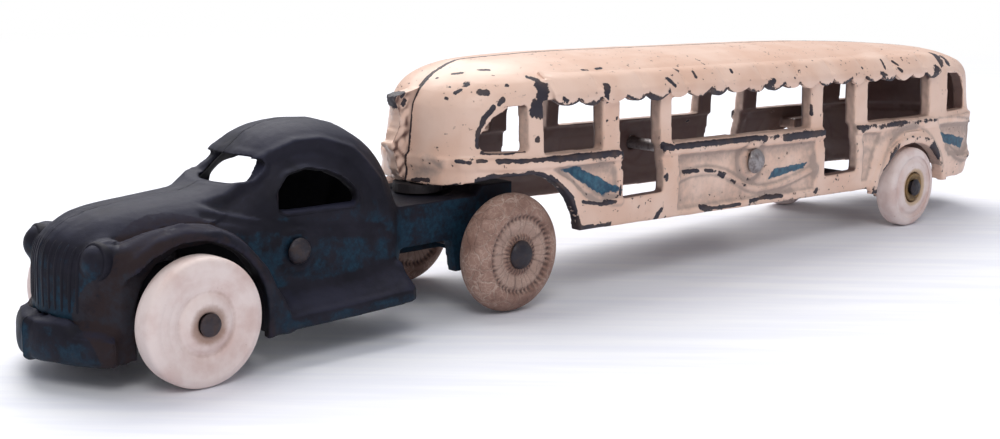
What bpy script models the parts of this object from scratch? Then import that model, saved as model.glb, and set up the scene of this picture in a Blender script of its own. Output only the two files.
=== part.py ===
# Cast toy truck and sightseeing trailer, about 292 mm long.
# The nose points to -X, the vehicle's left side to -Y and the roof to +Z.
# The tyres stand on Z = 0 and the middle of the length is X = 0.

import math

import bmesh
import bpy
from mathutils import Matrix, Vector

mm = 0.001

# Overall
overall_length = 292.0 * mm
casting_gap = 0.3 * mm          # between the two halves of a casting
fit_gap = 0.3 * mm              # around axles, pins and rivets

# Wheels and axles: radius, width, distance of the outer face from the middle
axle_radius = 1.6 * mm
front_tyre_radius = 11.5 * mm
front_tyre_width = 5.7 * mm
front_track_half = 22.3 * mm
front_axle_slid = -0.7 * mm     # the loose front axle stands towards the left side
rear_tyre_radius = 12.4 * mm
rear_tyre_width = 8.1 * mm
rear_track_half = 21.1 * mm
trailer_tyre_radius = 10.6 * mm
trailer_tyre_width = 5.4 * mm
trailer_track_half = 22.3 * mm
front_head_radius = 2.1 * mm
rear_head_radius = 3.05 * mm
trailer_head_radius = 2.3 * mm
bush_radius = 3.8 * mm

# Where the axles and the pivot are along the length
front_overhang = 22.6 * mm
tractor_wheelbase = 76.0 * mm
pivot_ahead_of_axle = 10.3 * mm
trailer_wheelbase = 156.4 * mm

# Tractor casting
wall = 2.4 * mm
hood_height = 30.7 * mm
cab_height = 42.2 * mm
cab_side = 15.4 * mm
nose_to_cab_back = 75.8 * mm
fender_side = 21.0 * mm
front_face_back = 3.6 * mm       # from the bumper to the grille
fender_inner = 13.2 * mm
fender_top = 28.1 * mm
arch_clearance = 2.4 * mm
board_side = 21.1 * mm
board_bottom = 6.5 * mm
board_thick = 2.6 * mm
apron_bottom = 4.2 * mm
apron_height = 6.4 * mm
lamp_radius = 3.7 * mm
rail_bottom = 8.0 * mm
rail_top = 14.6 * mm
rail_side = 12.9 * mm
frame_side = 11.4 * mm
hitch_gap = 4.3 * mm            # from the deck to the trailer's neck, room for the pin's collar
deck_thick = 2.4 * mm
bolster_rise = 1.9 * mm
frame_depth = 8.5 * mm          # from the deck down to the frame's lower edge
frame_tail = 6.0 * mm           # behind the rear axle
bracket_bottom = 8.6 * mm
rivet_radius = 1.5 * mm
rivet_head_radius = 2.5 * mm

# Trailer casting
body_side = 20.9 * mm
band_side = 19.6 * mm
trailer_wall = 2.8 * mm
nose_ahead = 3.6 * mm           # in front of the pivot
nose_round = 28.0 * mm
tail_round = 34.0 * mm
sill_height = 31.1 * mm
sill_fall = 0.022
eave_height = 41.4 * mm
eave_fall = 0.0165
hem_height = 14.2 * mm
hem_fall = 0.0285
hem_lowest = 10.3 * mm
roof_rise = 9.7 * mm
roof_level = 93.0 * mm          # from the tail to where the roof starts to fall
belt_height = 2.4 * mm
belt_proud = 0.8 * mm
neck_height = 28.3 * mm
neck_plate = 2.3 * mm
nose_drop = 1.9 * mm            # the hem hangs this much lower at the nose's tip
scallop_count = 21
scallop_depth = 1.5 * mm
scallop_steps = 4
nose_to_awning = 24.0 * mm
awning_to_tail = 33.8 * mm
awning_proud = 0.9 * mm
body_rivet_z = 24.4 * mm
body_rivet_head = 3.0 * mm
pin_collar_radius = 5.2 * mm
pin_shank_radius = 2.4 * mm
pin_neck_radius = 1.6 * mm
pin_depth = 8.0 * mm

round_steps = 28
turn_steps = 32

nose_x = -overall_length / 2
tail_x = overall_length / 2
front_axle_x = nose_x + front_overhang
rear_axle_x = front_axle_x + tractor_wheelbase
pivot_x = rear_axle_x - pivot_ahead_of_axle
trailer_axle_x = pivot_x + trailer_wheelbase
body_nose_x = pivot_x - nose_ahead
cab_back_x = nose_x + nose_to_cab_back
deck_top = neck_height - hitch_gap
bolster_top = deck_top + bolster_rise
frame_bottom = deck_top - frame_depth
awning_front = body_nose_x + nose_to_awning
awning_pitch = (tail_x - awning_to_tail - awning_front) / scallop_count
half_gap = casting_gap / 2
arch_radius = front_tyre_radius + arch_clearance
front_face_x = nose_x + front_face_back
pin_hole_radius = pin_shank_radius + fit_gap
axle_hole_radius = axle_radius + fit_gap

# Outlines along the length are drawn in millimetres with the front axle, the trailer's
# nose, its first door, its axle and its tail at these places.
drawn_front_axle = -123.4
drawn_body_nose = -61.3
drawn_first_door = -17.0
drawn_trailer_axle = 98.7
drawn_tail = 146.0


def tractor_x(drawn):
    """Place of a point drawn on the tractor, which moves with the front axle."""
    return front_axle_x + (drawn - drawn_front_axle) * mm


def tractor_drawn(x):
    """The drawing's place for a place on the tractor."""
    return (x - front_axle_x) / mm + drawn_front_axle


def trailer_x(drawn):
    """Place of a point drawn on the trailer, stretched behind its first door."""
    door = body_nose_x + (drawn_first_door - drawn_body_nose) * mm
    if drawn <= drawn_first_door:
        return door + (drawn - drawn_first_door) * mm
    if drawn <= drawn_trailer_axle:
        share = (drawn - drawn_first_door) / (drawn_trailer_axle - drawn_first_door)
        return door + share * (trailer_axle_x - door)
    share = (drawn - drawn_trailer_axle) / (drawn_tail - drawn_trailer_axle)
    return trailer_axle_x + share * (tail_x - trailer_axle_x)


cab_rivet_x = tractor_x(-99.4)
cab_rivet_z = 19.7 * mm
body_rivet_x = trailer_x(29.5)


def clear_scene():
    for obj in list(bpy.data.objects):
        bpy.data.objects.remove(obj, do_unlink=True)


def new_collection(name):
    group = bpy.data.collections.new(name)
    bpy.context.scene.collection.children.link(group)
    return group


def make_material(name, colour, roughness, metallic):
    mat = bpy.data.materials.new(name)
    mat.use_nodes = True
    shader = mat.node_tree.nodes["Principled BSDF"]
    shader.inputs["Base Color"].default_value = (*colour, 1.0)
    shader.inputs["Roughness"].default_value = roughness
    shader.inputs["Metallic"].default_value = metallic
    return mat


def smooth(x, low, high):
    """A smooth step from 0 at low to 1 at high."""
    t = min(max((x - low) / (high - low), 0.0), 1.0)
    return t * t * (3.0 - 2.0 * t)


def blend_points(points, x):
    """Height of a smooth line through a few (x, z) points."""
    if x <= points[0][0]:
        return points[0][1]
    for (xa, za), (xb, zb) in zip(points, points[1:]):
        if x <= xb:
            return za + (zb - za) * (x - xa) / (xb - xa)
    return points[-1][1]


def mesh_object(name, bm, group, place=(0, 0, 0)):
    bmesh.ops.recalc_face_normals(bm, faces=bm.faces)
    mesh = bpy.data.meshes.new(name)
    bm.to_mesh(mesh)
    bm.free()
    obj = bpy.data.objects.new(name, mesh)
    obj.location = place
    group.objects.link(obj)
    return obj


def loft_solid(name, rings, group):
    """Closed rings of equal count, joined one to the next, with flat ends."""
    bm = bmesh.new()
    rows = [[bm.verts.new(p) for p in ring] for ring in rings]
    count = len(rows[0])
    for low, high in zip(rows, rows[1:]):
        for i in range(count):
            j = (i + 1) % count
            bm.faces.new((low[i], low[j], high[j], high[i]))
    bm.faces.new(rows[0])
    bm.faces.new(rows[-1])
    bmesh.ops.triangulate(bm, faces=[f for f in bm.faces if len(f.verts) > 4])
    return mesh_object(name, bm, group)


def outline_solid(name, points, middle, half, group):
    """A flat outline of (x, z) points, given a thickness along Y."""
    curve = bpy.data.curves.new(name + "_outline", "CURVE")
    curve.dimensions = "2D"
    curve.fill_mode = "BOTH"
    curve.extrude = half
    spline = curve.splines.new("POLY")
    spline.points.add(len(points) - 1)
    for point, (x, z) in zip(spline.points, points):
        point.co = (x, z, 0.0, 1.0)
    spline.use_cyclic_u = True
    flat = bpy.data.objects.new(name + "_outline", curve)
    flat.rotation_euler = (math.pi / 2, 0.0, 0.0)
    flat.location = (0.0, middle, 0.0)
    group.objects.link(flat)
    bpy.context.view_layer.update()
    depsgraph = bpy.context.evaluated_depsgraph_get()
    mesh = bpy.data.meshes.new_from_object(flat.evaluated_get(depsgraph))
    place = flat.matrix_world.copy()
    bpy.data.objects.remove(flat, do_unlink=True)
    bm = bmesh.new()
    bm.from_mesh(mesh)
    bmesh.ops.remove_doubles(bm, verts=bm.verts, dist=1e-6)
    bmesh.ops.transform(bm, matrix=place, verts=bm.verts)
    bpy.data.meshes.remove(mesh)
    return mesh_object(name, bm, group)


def box_solid(name, low, high, group):
    bm = bmesh.new()
    size = Vector(high) - Vector(low)
    middle = (Vector(high) + Vector(low)) / 2
    matrix = Matrix.Translation(middle) @ Matrix.Diagonal((*size, 1.0))
    bmesh.ops.create_cube(bm, size=1.0, matrix=matrix)
    return mesh_object(name, bm, group)


def rod_solid(name, centre, radius, length, axis, group, steps=round_steps):
    """A round rod about a point, along Y or Z."""
    bm = bmesh.new()
    turn = Matrix.Rotation(math.pi / 2, 4, "X") if axis == "Y" else Matrix.Identity(4)
    bmesh.ops.create_cone(
        bm, cap_ends=True, segments=steps, radius1=radius, radius2=radius,
        depth=length, matrix=Matrix.Translation(centre) @ turn)
    return mesh_object(name, bm, group)


def ball_solid(name, centre, radii, group):
    bm = bmesh.new()
    matrix = Matrix.Translation(centre) @ Matrix.Diagonal((*radii, 1.0))
    bmesh.ops.create_uvsphere(bm, u_segments=16, v_segments=10, radius=1.0, matrix=matrix)
    return mesh_object(name, bm, group)


def combine(target, tool, operation):
    step = target.modifiers.new(tool.name, "BOOLEAN")
    step.operation = operation
    step.object = tool
    step.solver = "EXACT"
    tool.hide_render = True
    tool.display_type = "WIRE"


def facet_radius(radius):
    """Corner radius of a turned ring whose flat facets lie at the radius."""
    return radius / math.cos(math.pi / turn_steps)


def turned(name, profile, place, group, material, side=1):
    """A closed (radius, height) profile spun about Y; height grows outwards.

    Half a step of turn puts a flat facet, not a corner, at the bottom.
    """
    bm = bmesh.new()
    verts = [bm.verts.new((r, 0.0, h)) for r, h in profile]
    for a, b in zip(verts, verts[1:] + verts[:1]):
        bm.edges.new((a, b))
    mesh = bpy.data.meshes.new(name)
    bm.to_mesh(mesh)
    bm.free()
    obj = bpy.data.objects.new(name, mesh)
    group.objects.link(obj)
    obj.location = place
    obj.rotation_euler = (-side * math.pi / 2, math.pi / turn_steps, 0.0)
    spin = obj.modifiers.new("spin", "SCREW")
    spin.steps = turn_steps
    spin.render_steps = turn_steps
    spin.use_merge_vertices = True
    spin.merge_threshold = 0.00001
    mesh.materials.append(material)
    return obj


def arc(cx, cz, rx, rz, start, end, steps):
    """Points of an arc from start to end degrees."""
    points = []
    for i in range(steps + 1):
        a = math.radians(start + (end - start) * i / steps)
        points.append((cx + rx * math.cos(a), cz + rz * math.sin(a)))
    return points


def sill_z(x):
    return sill_height - sill_fall * x


def eave_z(x):
    return eave_height - eave_fall * x


def hem_z(x):
    return max(hem_height - hem_fall * x, hem_lowest)


def rise_z(x):
    """Height of the roof above the eave, lower over the nose and the tail."""
    front = 0.10 * (1.0 - smooth(x, trailer_x(-54.0), trailer_x(-18.0)))
    back = 0.49 * (max(x - (tail_x - roof_level), 0.0) / roof_level) ** 2
    return roof_rise * (1.0 - front) * (1.0 - back)


def body_columns():
    """Places along the plan outline: part of it and how far round."""
    nose = [("nose", math.pi / 2 * i / 8) for i in range(9)]
    straight = [("side", i / 14) for i in range(1, 14)]
    tail = [("tail", math.pi / 2 * (1 - i / 8)) for i in range(9)]
    return nose + straight + tail


def plan_point(column, x_nose, x_tail, half):
    """A point of the body's plan outline, rounded at the nose and the tail."""
    part, t = column
    nose = nose_round * (0.35 + 0.65 * half / body_side)
    tail = tail_round * (0.35 + 0.65 * half / body_side)
    if part == "nose":
        power = 2 / 2.4
        x = x_nose + nose * (1.0 - math.cos(t) ** power if t < 1.57 else 1.0)
        y = half * math.sin(t) ** power
    elif part == "tail":
        power = 2 / 2.5
        x = x_tail - tail * (1.0 - math.cos(t) ** power if t < 1.57 else 1.0)
        y = half * math.sin(t) ** power
    else:
        x = x_nose + nose + (x_tail - tail - x_nose - nose) * t
        y = half
    return x, max(y, half_gap)


def body_rows(inner):
    """Rows of the body wall from the hem to the crown: (half width, nose, tail, height)."""
    w = trailer_wall if inner else 0.0
    thick = w * 1.2
    belt = 0.0 if inner else belt_proud
    nose = body_nose_x + w
    tail = tail_x - w
    rows = []

    def row(half, ahead, behind, height):
        rows.append((half, nose + ahead, tail - behind, height))

    row(body_side - 0.5 * mm - w, 0.4 * mm, 1.4 * mm, lambda x: hem_z(x))
    row(body_side - w, 0.0, 0.2 * mm, lambda x: hem_z(x) + 3.6 * mm)
    row(body_side - 0.1 * mm - w, 0.0, 0.0, lambda x: hem_z(x) * 0.35 + sill_z(x) * 0.65)
    row(band_side + 0.4 * mm - w, 0.4 * mm, 0.5 * mm, lambda x: sill_z(x) - belt_height - 0.4 * mm)
    row(band_side + 0.4 * mm + belt - w, 0.0, 0.0, lambda x: sill_z(x) - belt_height)
    row(band_side + 0.3 * mm + belt - w, 0.0, 0.0, lambda x: sill_z(x) - 0.4 * mm)
    row(band_side - thick, 0.8 * mm, 0.9 * mm, lambda x: sill_z(x))
    row(band_side - 0.6 * mm - thick, 2.0 * mm, 2.2 * mm, lambda x: eave_z(x))
    crown = [(0.34, 1.3, 3.6, 3.8, 0.4), (0.56, 2.8, 5.6, 5.6, 0.62), (0.73, 5.4, 8.0, 8.4, 0.8),
             (0.88, 9.4, 11.0, 11.5, 0.9), (0.97, 14.0, 13.8, 15.0, 0.95)]
    for share, narrow, ahead, behind, drop in crown:
        row(band_side - narrow * mm - w, ahead * mm, behind * mm,
            lambda x, s=share, d=drop: eave_z(x) + rise_z(x) * s - w * d)
    row(half_gap, 17.2 * mm, 20.0 * mm, lambda x: eave_z(x) + rise_z(x) - w * 0.95)
    return rows


def body_wall(name, side, group):
    """The half body as a wall between an outer and an inner loft."""
    bm = bmesh.new()
    columns = body_columns()
    skins = []
    for inner in (False, True):
        skin = []
        for half, x_nose, x_tail, height in body_rows(inner):
            line = []
            for column in columns:
                x, y = plan_point(column, x_nose, x_tail, half)
                line.append(bm.verts.new((x, side * y, height(x))))
            skin.append(line)
        skins.append(skin)
    outer, inside = skins
    for skin in skins:
        for low, high in zip(skin, skin[1:]):
            for i in range(len(columns) - 1):
                bm.faces.new((low[i], low[i + 1], high[i + 1], high[i]))
    for a, b in zip(range(len(columns) - 1), range(1, len(columns))):
        bm.faces.new((outer[0][a], outer[0][b], inside[0][b], inside[0][a]))
        bm.faces.new((outer[-1][a], outer[-1][b], inside[-1][b], inside[-1][a]))
    for end in (0, -1):
        for k in range(len(outer) - 1):
            bm.faces.new((outer[k][end], outer[k + 1][end], inside[k + 1][end], inside[k][end]))
    return mesh_object(name, bm, group)


def awning_strip(name, side, group):
    """The awning's side, with a scalloped lower edge, as a thin curved strip."""
    total = scallop_count * scallop_steps
    rings = []
    for i in range(total + 1):
        x = awning_front + awning_pitch * scallop_count * i / total
        phase = (i % scallop_steps) / scallop_steps
        low = scallop_depth * (1.0 - math.sin(math.pi * phase) ** 0.7)
        eave = eave_z(x)
        column = plan_at(x)
        ring = []
        section = [(0.0, 0.0 * mm + low), (0.15, 2.6 * mm), (2.9, 5.6 * mm)]
        for narrow, up in section:
            ring.append((x, column - narrow * mm + awning_proud, eave + up))
        for narrow, up in reversed(section):
            ring.append((x, column - narrow * mm - 0.7 * mm, eave + up - 0.2 * mm))
        rings.append([(px, side * py, pz) for px, py, pz in ring])
    return loft_solid(name, rings, group)


def plan_at(x):
    """Half width of the window band's outline at a place along the length."""
    half = band_side - 0.6 * mm
    tail = tail_round * (0.35 + 0.65 * half / body_side)
    start = tail_x - 2.2 * mm - tail
    if x <= start:
        return half
    t = (x - start) / tail
    return half * (1.0 - t ** 2.5) ** 0.4


def openings_of_side():
    """Outlines of the side's openings, from the nose to the tail."""
    def top(x):
        return eave_z(x) + 1.2 * mm

    def window(drawn_low, drawn_high):
        lift = 0.2 * mm
        low = trailer_x(drawn_low)
        high = trailer_x(drawn_high)
        return [(low, sill_z(low) + lift), (high, sill_z(high) + lift), (high, top(high)), (low, top(low))]

    def door(drawn_low, drawn_high, floor):
        low = trailer_x(drawn_low)
        high = trailer_x(drawn_high)
        return [(low, floor), (high, floor), (high, top(high)), (low, top(low))]

    front = [(-43.4, 33.0), (-43.4, 42.6), (-47.4, 42.4), (-50.8, 40.2), (-53.3, 36.8), (-53.6, 34.4), (-52.4, 33.2)]
    rear = [(118.6, 29.4), (130.6, 29.2), (130.2, 34.5), (128.2, 38.0), (125.0, 39.6), (118.6, 40.0)]
    return {
        "front_corner": [(trailer_x(x), z * mm) for x, z in front],
        "window_front": window(-39.6, -22.0),
        "door_front": door(-16.7, -3.2, 20.6 * mm),
        "window_long": window(0.6, 54.0),
        "door_rear": door(58.9, 73.2, 17.6 * mm),
        "window_rear": window(78.9, 109.2),
        "rear_corner": [(trailer_x(x), z * mm) for x, z in rear],
    }


def build_trailer_half(name, side, group, cutters, material):
    half = body_wall(name, side, group)
    half.data.materials.append(material)
    label = "left" if side < 0 else "right"

    curve = [(-29.8, -12.7), (-30.9, -9.7), (-33.0, -6.1), (-35.6, -3.4), (-38.6, -1.2), (-42.4, 0.0)]
    under = [(trailer_x(-80.0), 0.0), (trailer_x(-29.6), 0.0)]
    under += [(trailer_x(x), neck_height + z * mm) for x, z in curve]
    droop = [(-50.0, 0.05), (-53.5, 0.37), (-57.0, 0.74), (-60.0, 1.0), (-80.0, 1.0)]
    under += [(trailer_x(x), neck_height - nose_drop * share) for x, share in droop]
    reach = 20 * mm
    neck = outline_solid("neck_" + label, under, side * reach, reach + 4 * mm, cutters)
    combine(half, neck, "DIFFERENCE")

    plate_low = (body_nose_x + 1.5 * mm, half_gap, neck_height)
    plate_high = (trailer_x(-43.0), band_side - 6.0 * mm, neck_height + neck_plate)
    rings = []
    for t in range(7):
        x = plate_low[0] + (plate_high[0] - plate_low[0]) * t / 6
        edge = min(plate_high[1], plan_half_near_nose(x) - 1.2 * mm)
        rings.append([(x, side * half_gap, neck_height), (x, side * edge, neck_height),
                      (x, side * edge, plate_high[2]), (x, side * half_gap, plate_high[2])])
    plate = loft_solid("neck_plate_" + label, rings, cutters)
    combine(half, plate, "UNION")

    for key, outline in openings_of_side().items():
        inner_y = 8.0 * mm if key == "front_corner" else 11.4 * mm
        outer_y = body_side + 5.7 * mm
        opening = outline_solid(key + "_" + label, outline, side * (inner_y + outer_y) / 2,
                                (outer_y - inner_y) / 2, cutters)
        combine(half, opening, "DIFFERENCE")

    strip = awning_strip("awning_" + label, side, cutters)
    combine(half, strip, "UNION")

    lip = arc(trailer_axle_x, trailer_tyre_radius, 18.6 * mm, 13.8 * mm, 0, 180, 20)
    lip += arc(trailer_axle_x, trailer_tyre_radius, 15.0 * mm, 10.8 * mm, 180, 0, 20)
    arch_lip = outline_solid("arch_lip_" + label, lip, side * (body_side - 0.3 * mm), 0.9 * mm, cutters)
    combine(half, arch_lip, "UNION")
    well = [(trailer_axle_x + 16.2 * mm, 0.0)]
    well += arc(trailer_axle_x, trailer_tyre_radius, 16.2 * mm, 11.9 * mm, 0, 180, 20)
    well += [(trailer_axle_x - 16.2 * mm, 0.0)]
    arch = outline_solid("arch_" + label, well, side * 20 * mm, 6 * mm, cutters)
    combine(half, arch, "DIFFERENCE")

    lug = [(trailer_axle_x - 4.0 * mm, trailer_tyre_radius - 3.4 * mm),
           (trailer_axle_x + 4.0 * mm, trailer_tyre_radius - 3.4 * mm),
           (trailer_axle_x + 6.5 * mm, 25.6 * mm), (trailer_axle_x - 6.5 * mm, 25.6 * mm)]
    lug_side = trailer_track_half - trailer_tyre_width - 2.0 * mm
    lug_half = 1.3 * mm
    bearing = outline_solid("lug_" + label, lug, side * (lug_side - lug_half), lug_half, cutters)
    combine(half, bearing, "UNION")
    shelf_low = (trailer_axle_x - 7.0 * mm, 0.0, 23.4 * mm)
    shelf_high = (trailer_axle_x + 7.0 * mm, body_side - 1.6 * mm, 26.2 * mm)
    shelf_inner = lug_side - 2 * lug_half - 0.4 * mm
    ys = sorted((side * shelf_inner, side * shelf_high[1]))
    shelf = box_solid("shelf_" + label, (shelf_low[0], ys[0], shelf_low[2]),
                      (shelf_high[0], ys[1], shelf_high[2]), cutters)
    combine(half, shelf, "UNION")

    hole = rod_solid("axle_hole_" + label, (trailer_axle_x, side * 15 * mm, trailer_tyre_radius),
                     axle_hole_radius, 30 * mm, "Y", cutters)
    combine(half, hole, "DIFFERENCE")
    rivet_hole = rod_solid("body_rivet_hole_" + label, (body_rivet_x, side * 18 * mm, body_rivet_z),
                           rivet_radius + fit_gap, 20 * mm, "Y", cutters)
    combine(half, rivet_hole, "DIFFERENCE")
    if side > 0:
        foot = (neck_height - nose_drop) / mm + 1.0
        ridge = [(-64.1, 44.0), (-63.1, 41.9), (-62.2, 39.8), (-62.8, 37.4), (-63.9, 35.4), (-64.9, 34.2),
                 (-63.8, 32.4), (-63.2, foot + 2.0), (-62.6, foot), (-60.4, foot), (-58.6, neck_height / mm + 1.0),
                 (-57.2, 38.0), (-53.6, 45.4), (-57.8, 45.4)]
        fin = outline_solid("nose_ridge", [(trailer_x(x), z * mm) for x, z in ridge],
                            half_gap + 1.6 * mm, 1.6 * mm, cutters)
        combine(half, fin, "UNION")
    pin_hole = rod_solid("pin_hole_" + label, (pivot_x, 0.0, neck_height + 1 * mm),
                         pin_neck_radius + fit_gap, 12 * mm, "Z", cutters)
    combine(half, pin_hole, "DIFFERENCE")
    return half


def plan_half_near_nose(x):
    """Half width of the body's outline close behind the nose."""
    t = min(max((x - body_nose_x) / nose_round, 0.0), 1.0)
    return band_side * (1.0 - (1.0 - t) ** 2.4) ** (1 / 2.4)


def tractor_top(x):
    """Height of the tractor's middle line along its length."""
    hood = hood_height / mm
    cab = cab_height / mm
    line = [(-142.3, 20.0), (-141.9, 23.0), (-140.4, 25.7), (-138.0, 27.5), (-135.2, 28.6), (-129.6, hood - 1.2),
            (-119.6, hood - 0.5), (-115.0, hood - 0.2), (-112.8, hood + 0.2), (-110.4, 31.9), (-107.4, 34.6),
            (-104.4, 37.4), (-99.8, cab - 1.5), (-95.4, cab - 0.2), (-91.0, cab), (-85.8, cab - 0.4),
            (-80.6, cab - 1.8), (-76.0, cab - 4.6), (-72.8, 33.4), (-70.6, 27.0), (-69.8, 22.0)]
    return blend_points(line, tractor_drawn(x)) * mm


def front_half_width(x):
    """Half width of the rounded front and the fenders."""
    line = [(0.0, 0.5), (0.2, 3.0), (2.4, 8.0), (4.9, 13.0), (6.6, 16.0), (8.0, 17.6), (10.0, 19.0), (12.9, 20.1),
            (18.4, 20.8), (24.4, 21.0)]
    return blend_points(line, (x - front_face_x) / mm) * mm * fender_side / (21.0 * mm)


def fender_top_at(x):
    """Height of the fender's crown along its length."""
    line = [(-141.7, 16.6), (-140.9, 18.8), (-139.6, 20.7), (-137.3, 22.9), (-133.5, 25.2), (-128.8, 27.2),
            (-124.0, fender_top / mm), (-118.0, 27.4), (-113.0, 25.0), (-109.2, 20.8), (-106.4, 15.6), (-104.4, 10.4)]
    return blend_points(line, tractor_drawn(x)) * mm


def fender_rings(side, stations, skin):
    """Cross-sections of the fender, or of the room inside it at a skin's depth."""
    section = [(0.0, 0.0), (0.94, 0.0), (1.0, 0.06), (1.0, 0.66), (0.94, 0.82), (0.80, 0.94), (0.58, 1.0),
               (0.34, 0.98), (0.0, 0.86)]
    rings = []
    for station in stations:
        x = tractor_x(station)
        ahead = x - skin if x < front_axle_x else x
        side_y = front_half_width(ahead) - skin
        top = fender_top_at(ahead) - skin
        floor = apron_bottom + 1.0 * mm if station < -110.0 else board_bottom - 0.5 * mm
        inner = min(fender_inner - 3.0 * mm, side_y * 0.45)
        if skin > 0:
            floor = -2.0 * mm
            inner = -1.0 * mm
        rings.append([(x, side * (inner + (side_y - inner) * out), floor + (top - floor) * up)
                      for out, up in section])
    return rings


def tractor_half_width(x):
    """Half width of hood and cab at their widest."""
    line = [(-142.3, 1.2), (-141.9, 3.0), (-140.8, 6.2), (-139.2, 8.6), (-136.0, 10.2), (-130.3, 11.0),
            (-120.4, 12.0), (-113.4, 13.2), (-109.0, 14.4), (-101.2, 15.3), (-91.0, 15.4),
            (-80.6, 15.0), (-76.0, 14.1), (-72.8, 12.3), (-70.6, 9.4), (-69.8, 6.4)]
    return blend_points(line, tractor_drawn(x)) * mm * cab_side / (15.4 * mm)


tractor_stations = [-142.25, -141.8, -140.8, -139.3, -137.2, -134.0, -131.0, -127.0, -121.0, -115.4, -113.2, -111.2,
                    -108.8, -106.2, -103.6, -100.4, -96.5, -91.0, -85.8, -80.6, -78.4, -76.2, -73.8, -71.6, -70.2]


def tractor_ring(x, side, inset):
    """Half cross-section of hood or cab, from the middle over the top and down."""
    top = tractor_top(x) - inset
    half = max(tractor_half_width(x) - inset, 0.9 * mm)
    cab = smooth(x, tractor_x(-113.5), tractor_x(-104.0))
    low = 8.4 * mm if x > tractor_x(-104.0) else 12.0 * mm
    low = min(low, top - 4 * mm) - (6 * mm if inset else 0.0)
    points = []
    steps = 9
    power = 2 / (2.15 + 0.1 * cab)
    shoulder = low + (top - low) * (0.52 if cab < 0.5 else 0.40)
    for i in range(steps + 1):
        a = math.pi / 2 * i / steps
        y = half * (math.sin(a) ** power)
        z = shoulder + (top - shoulder) * (math.cos(a) ** power if i < steps else 0.0)
        points.append((x, side * max(y, half_gap), z))
    points.append((x, side * half * 1.02, low + (shoulder - low) * 0.5))
    points.append((x, side * half, low))
    points.append((x, side * half_gap, low))
    return points


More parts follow.
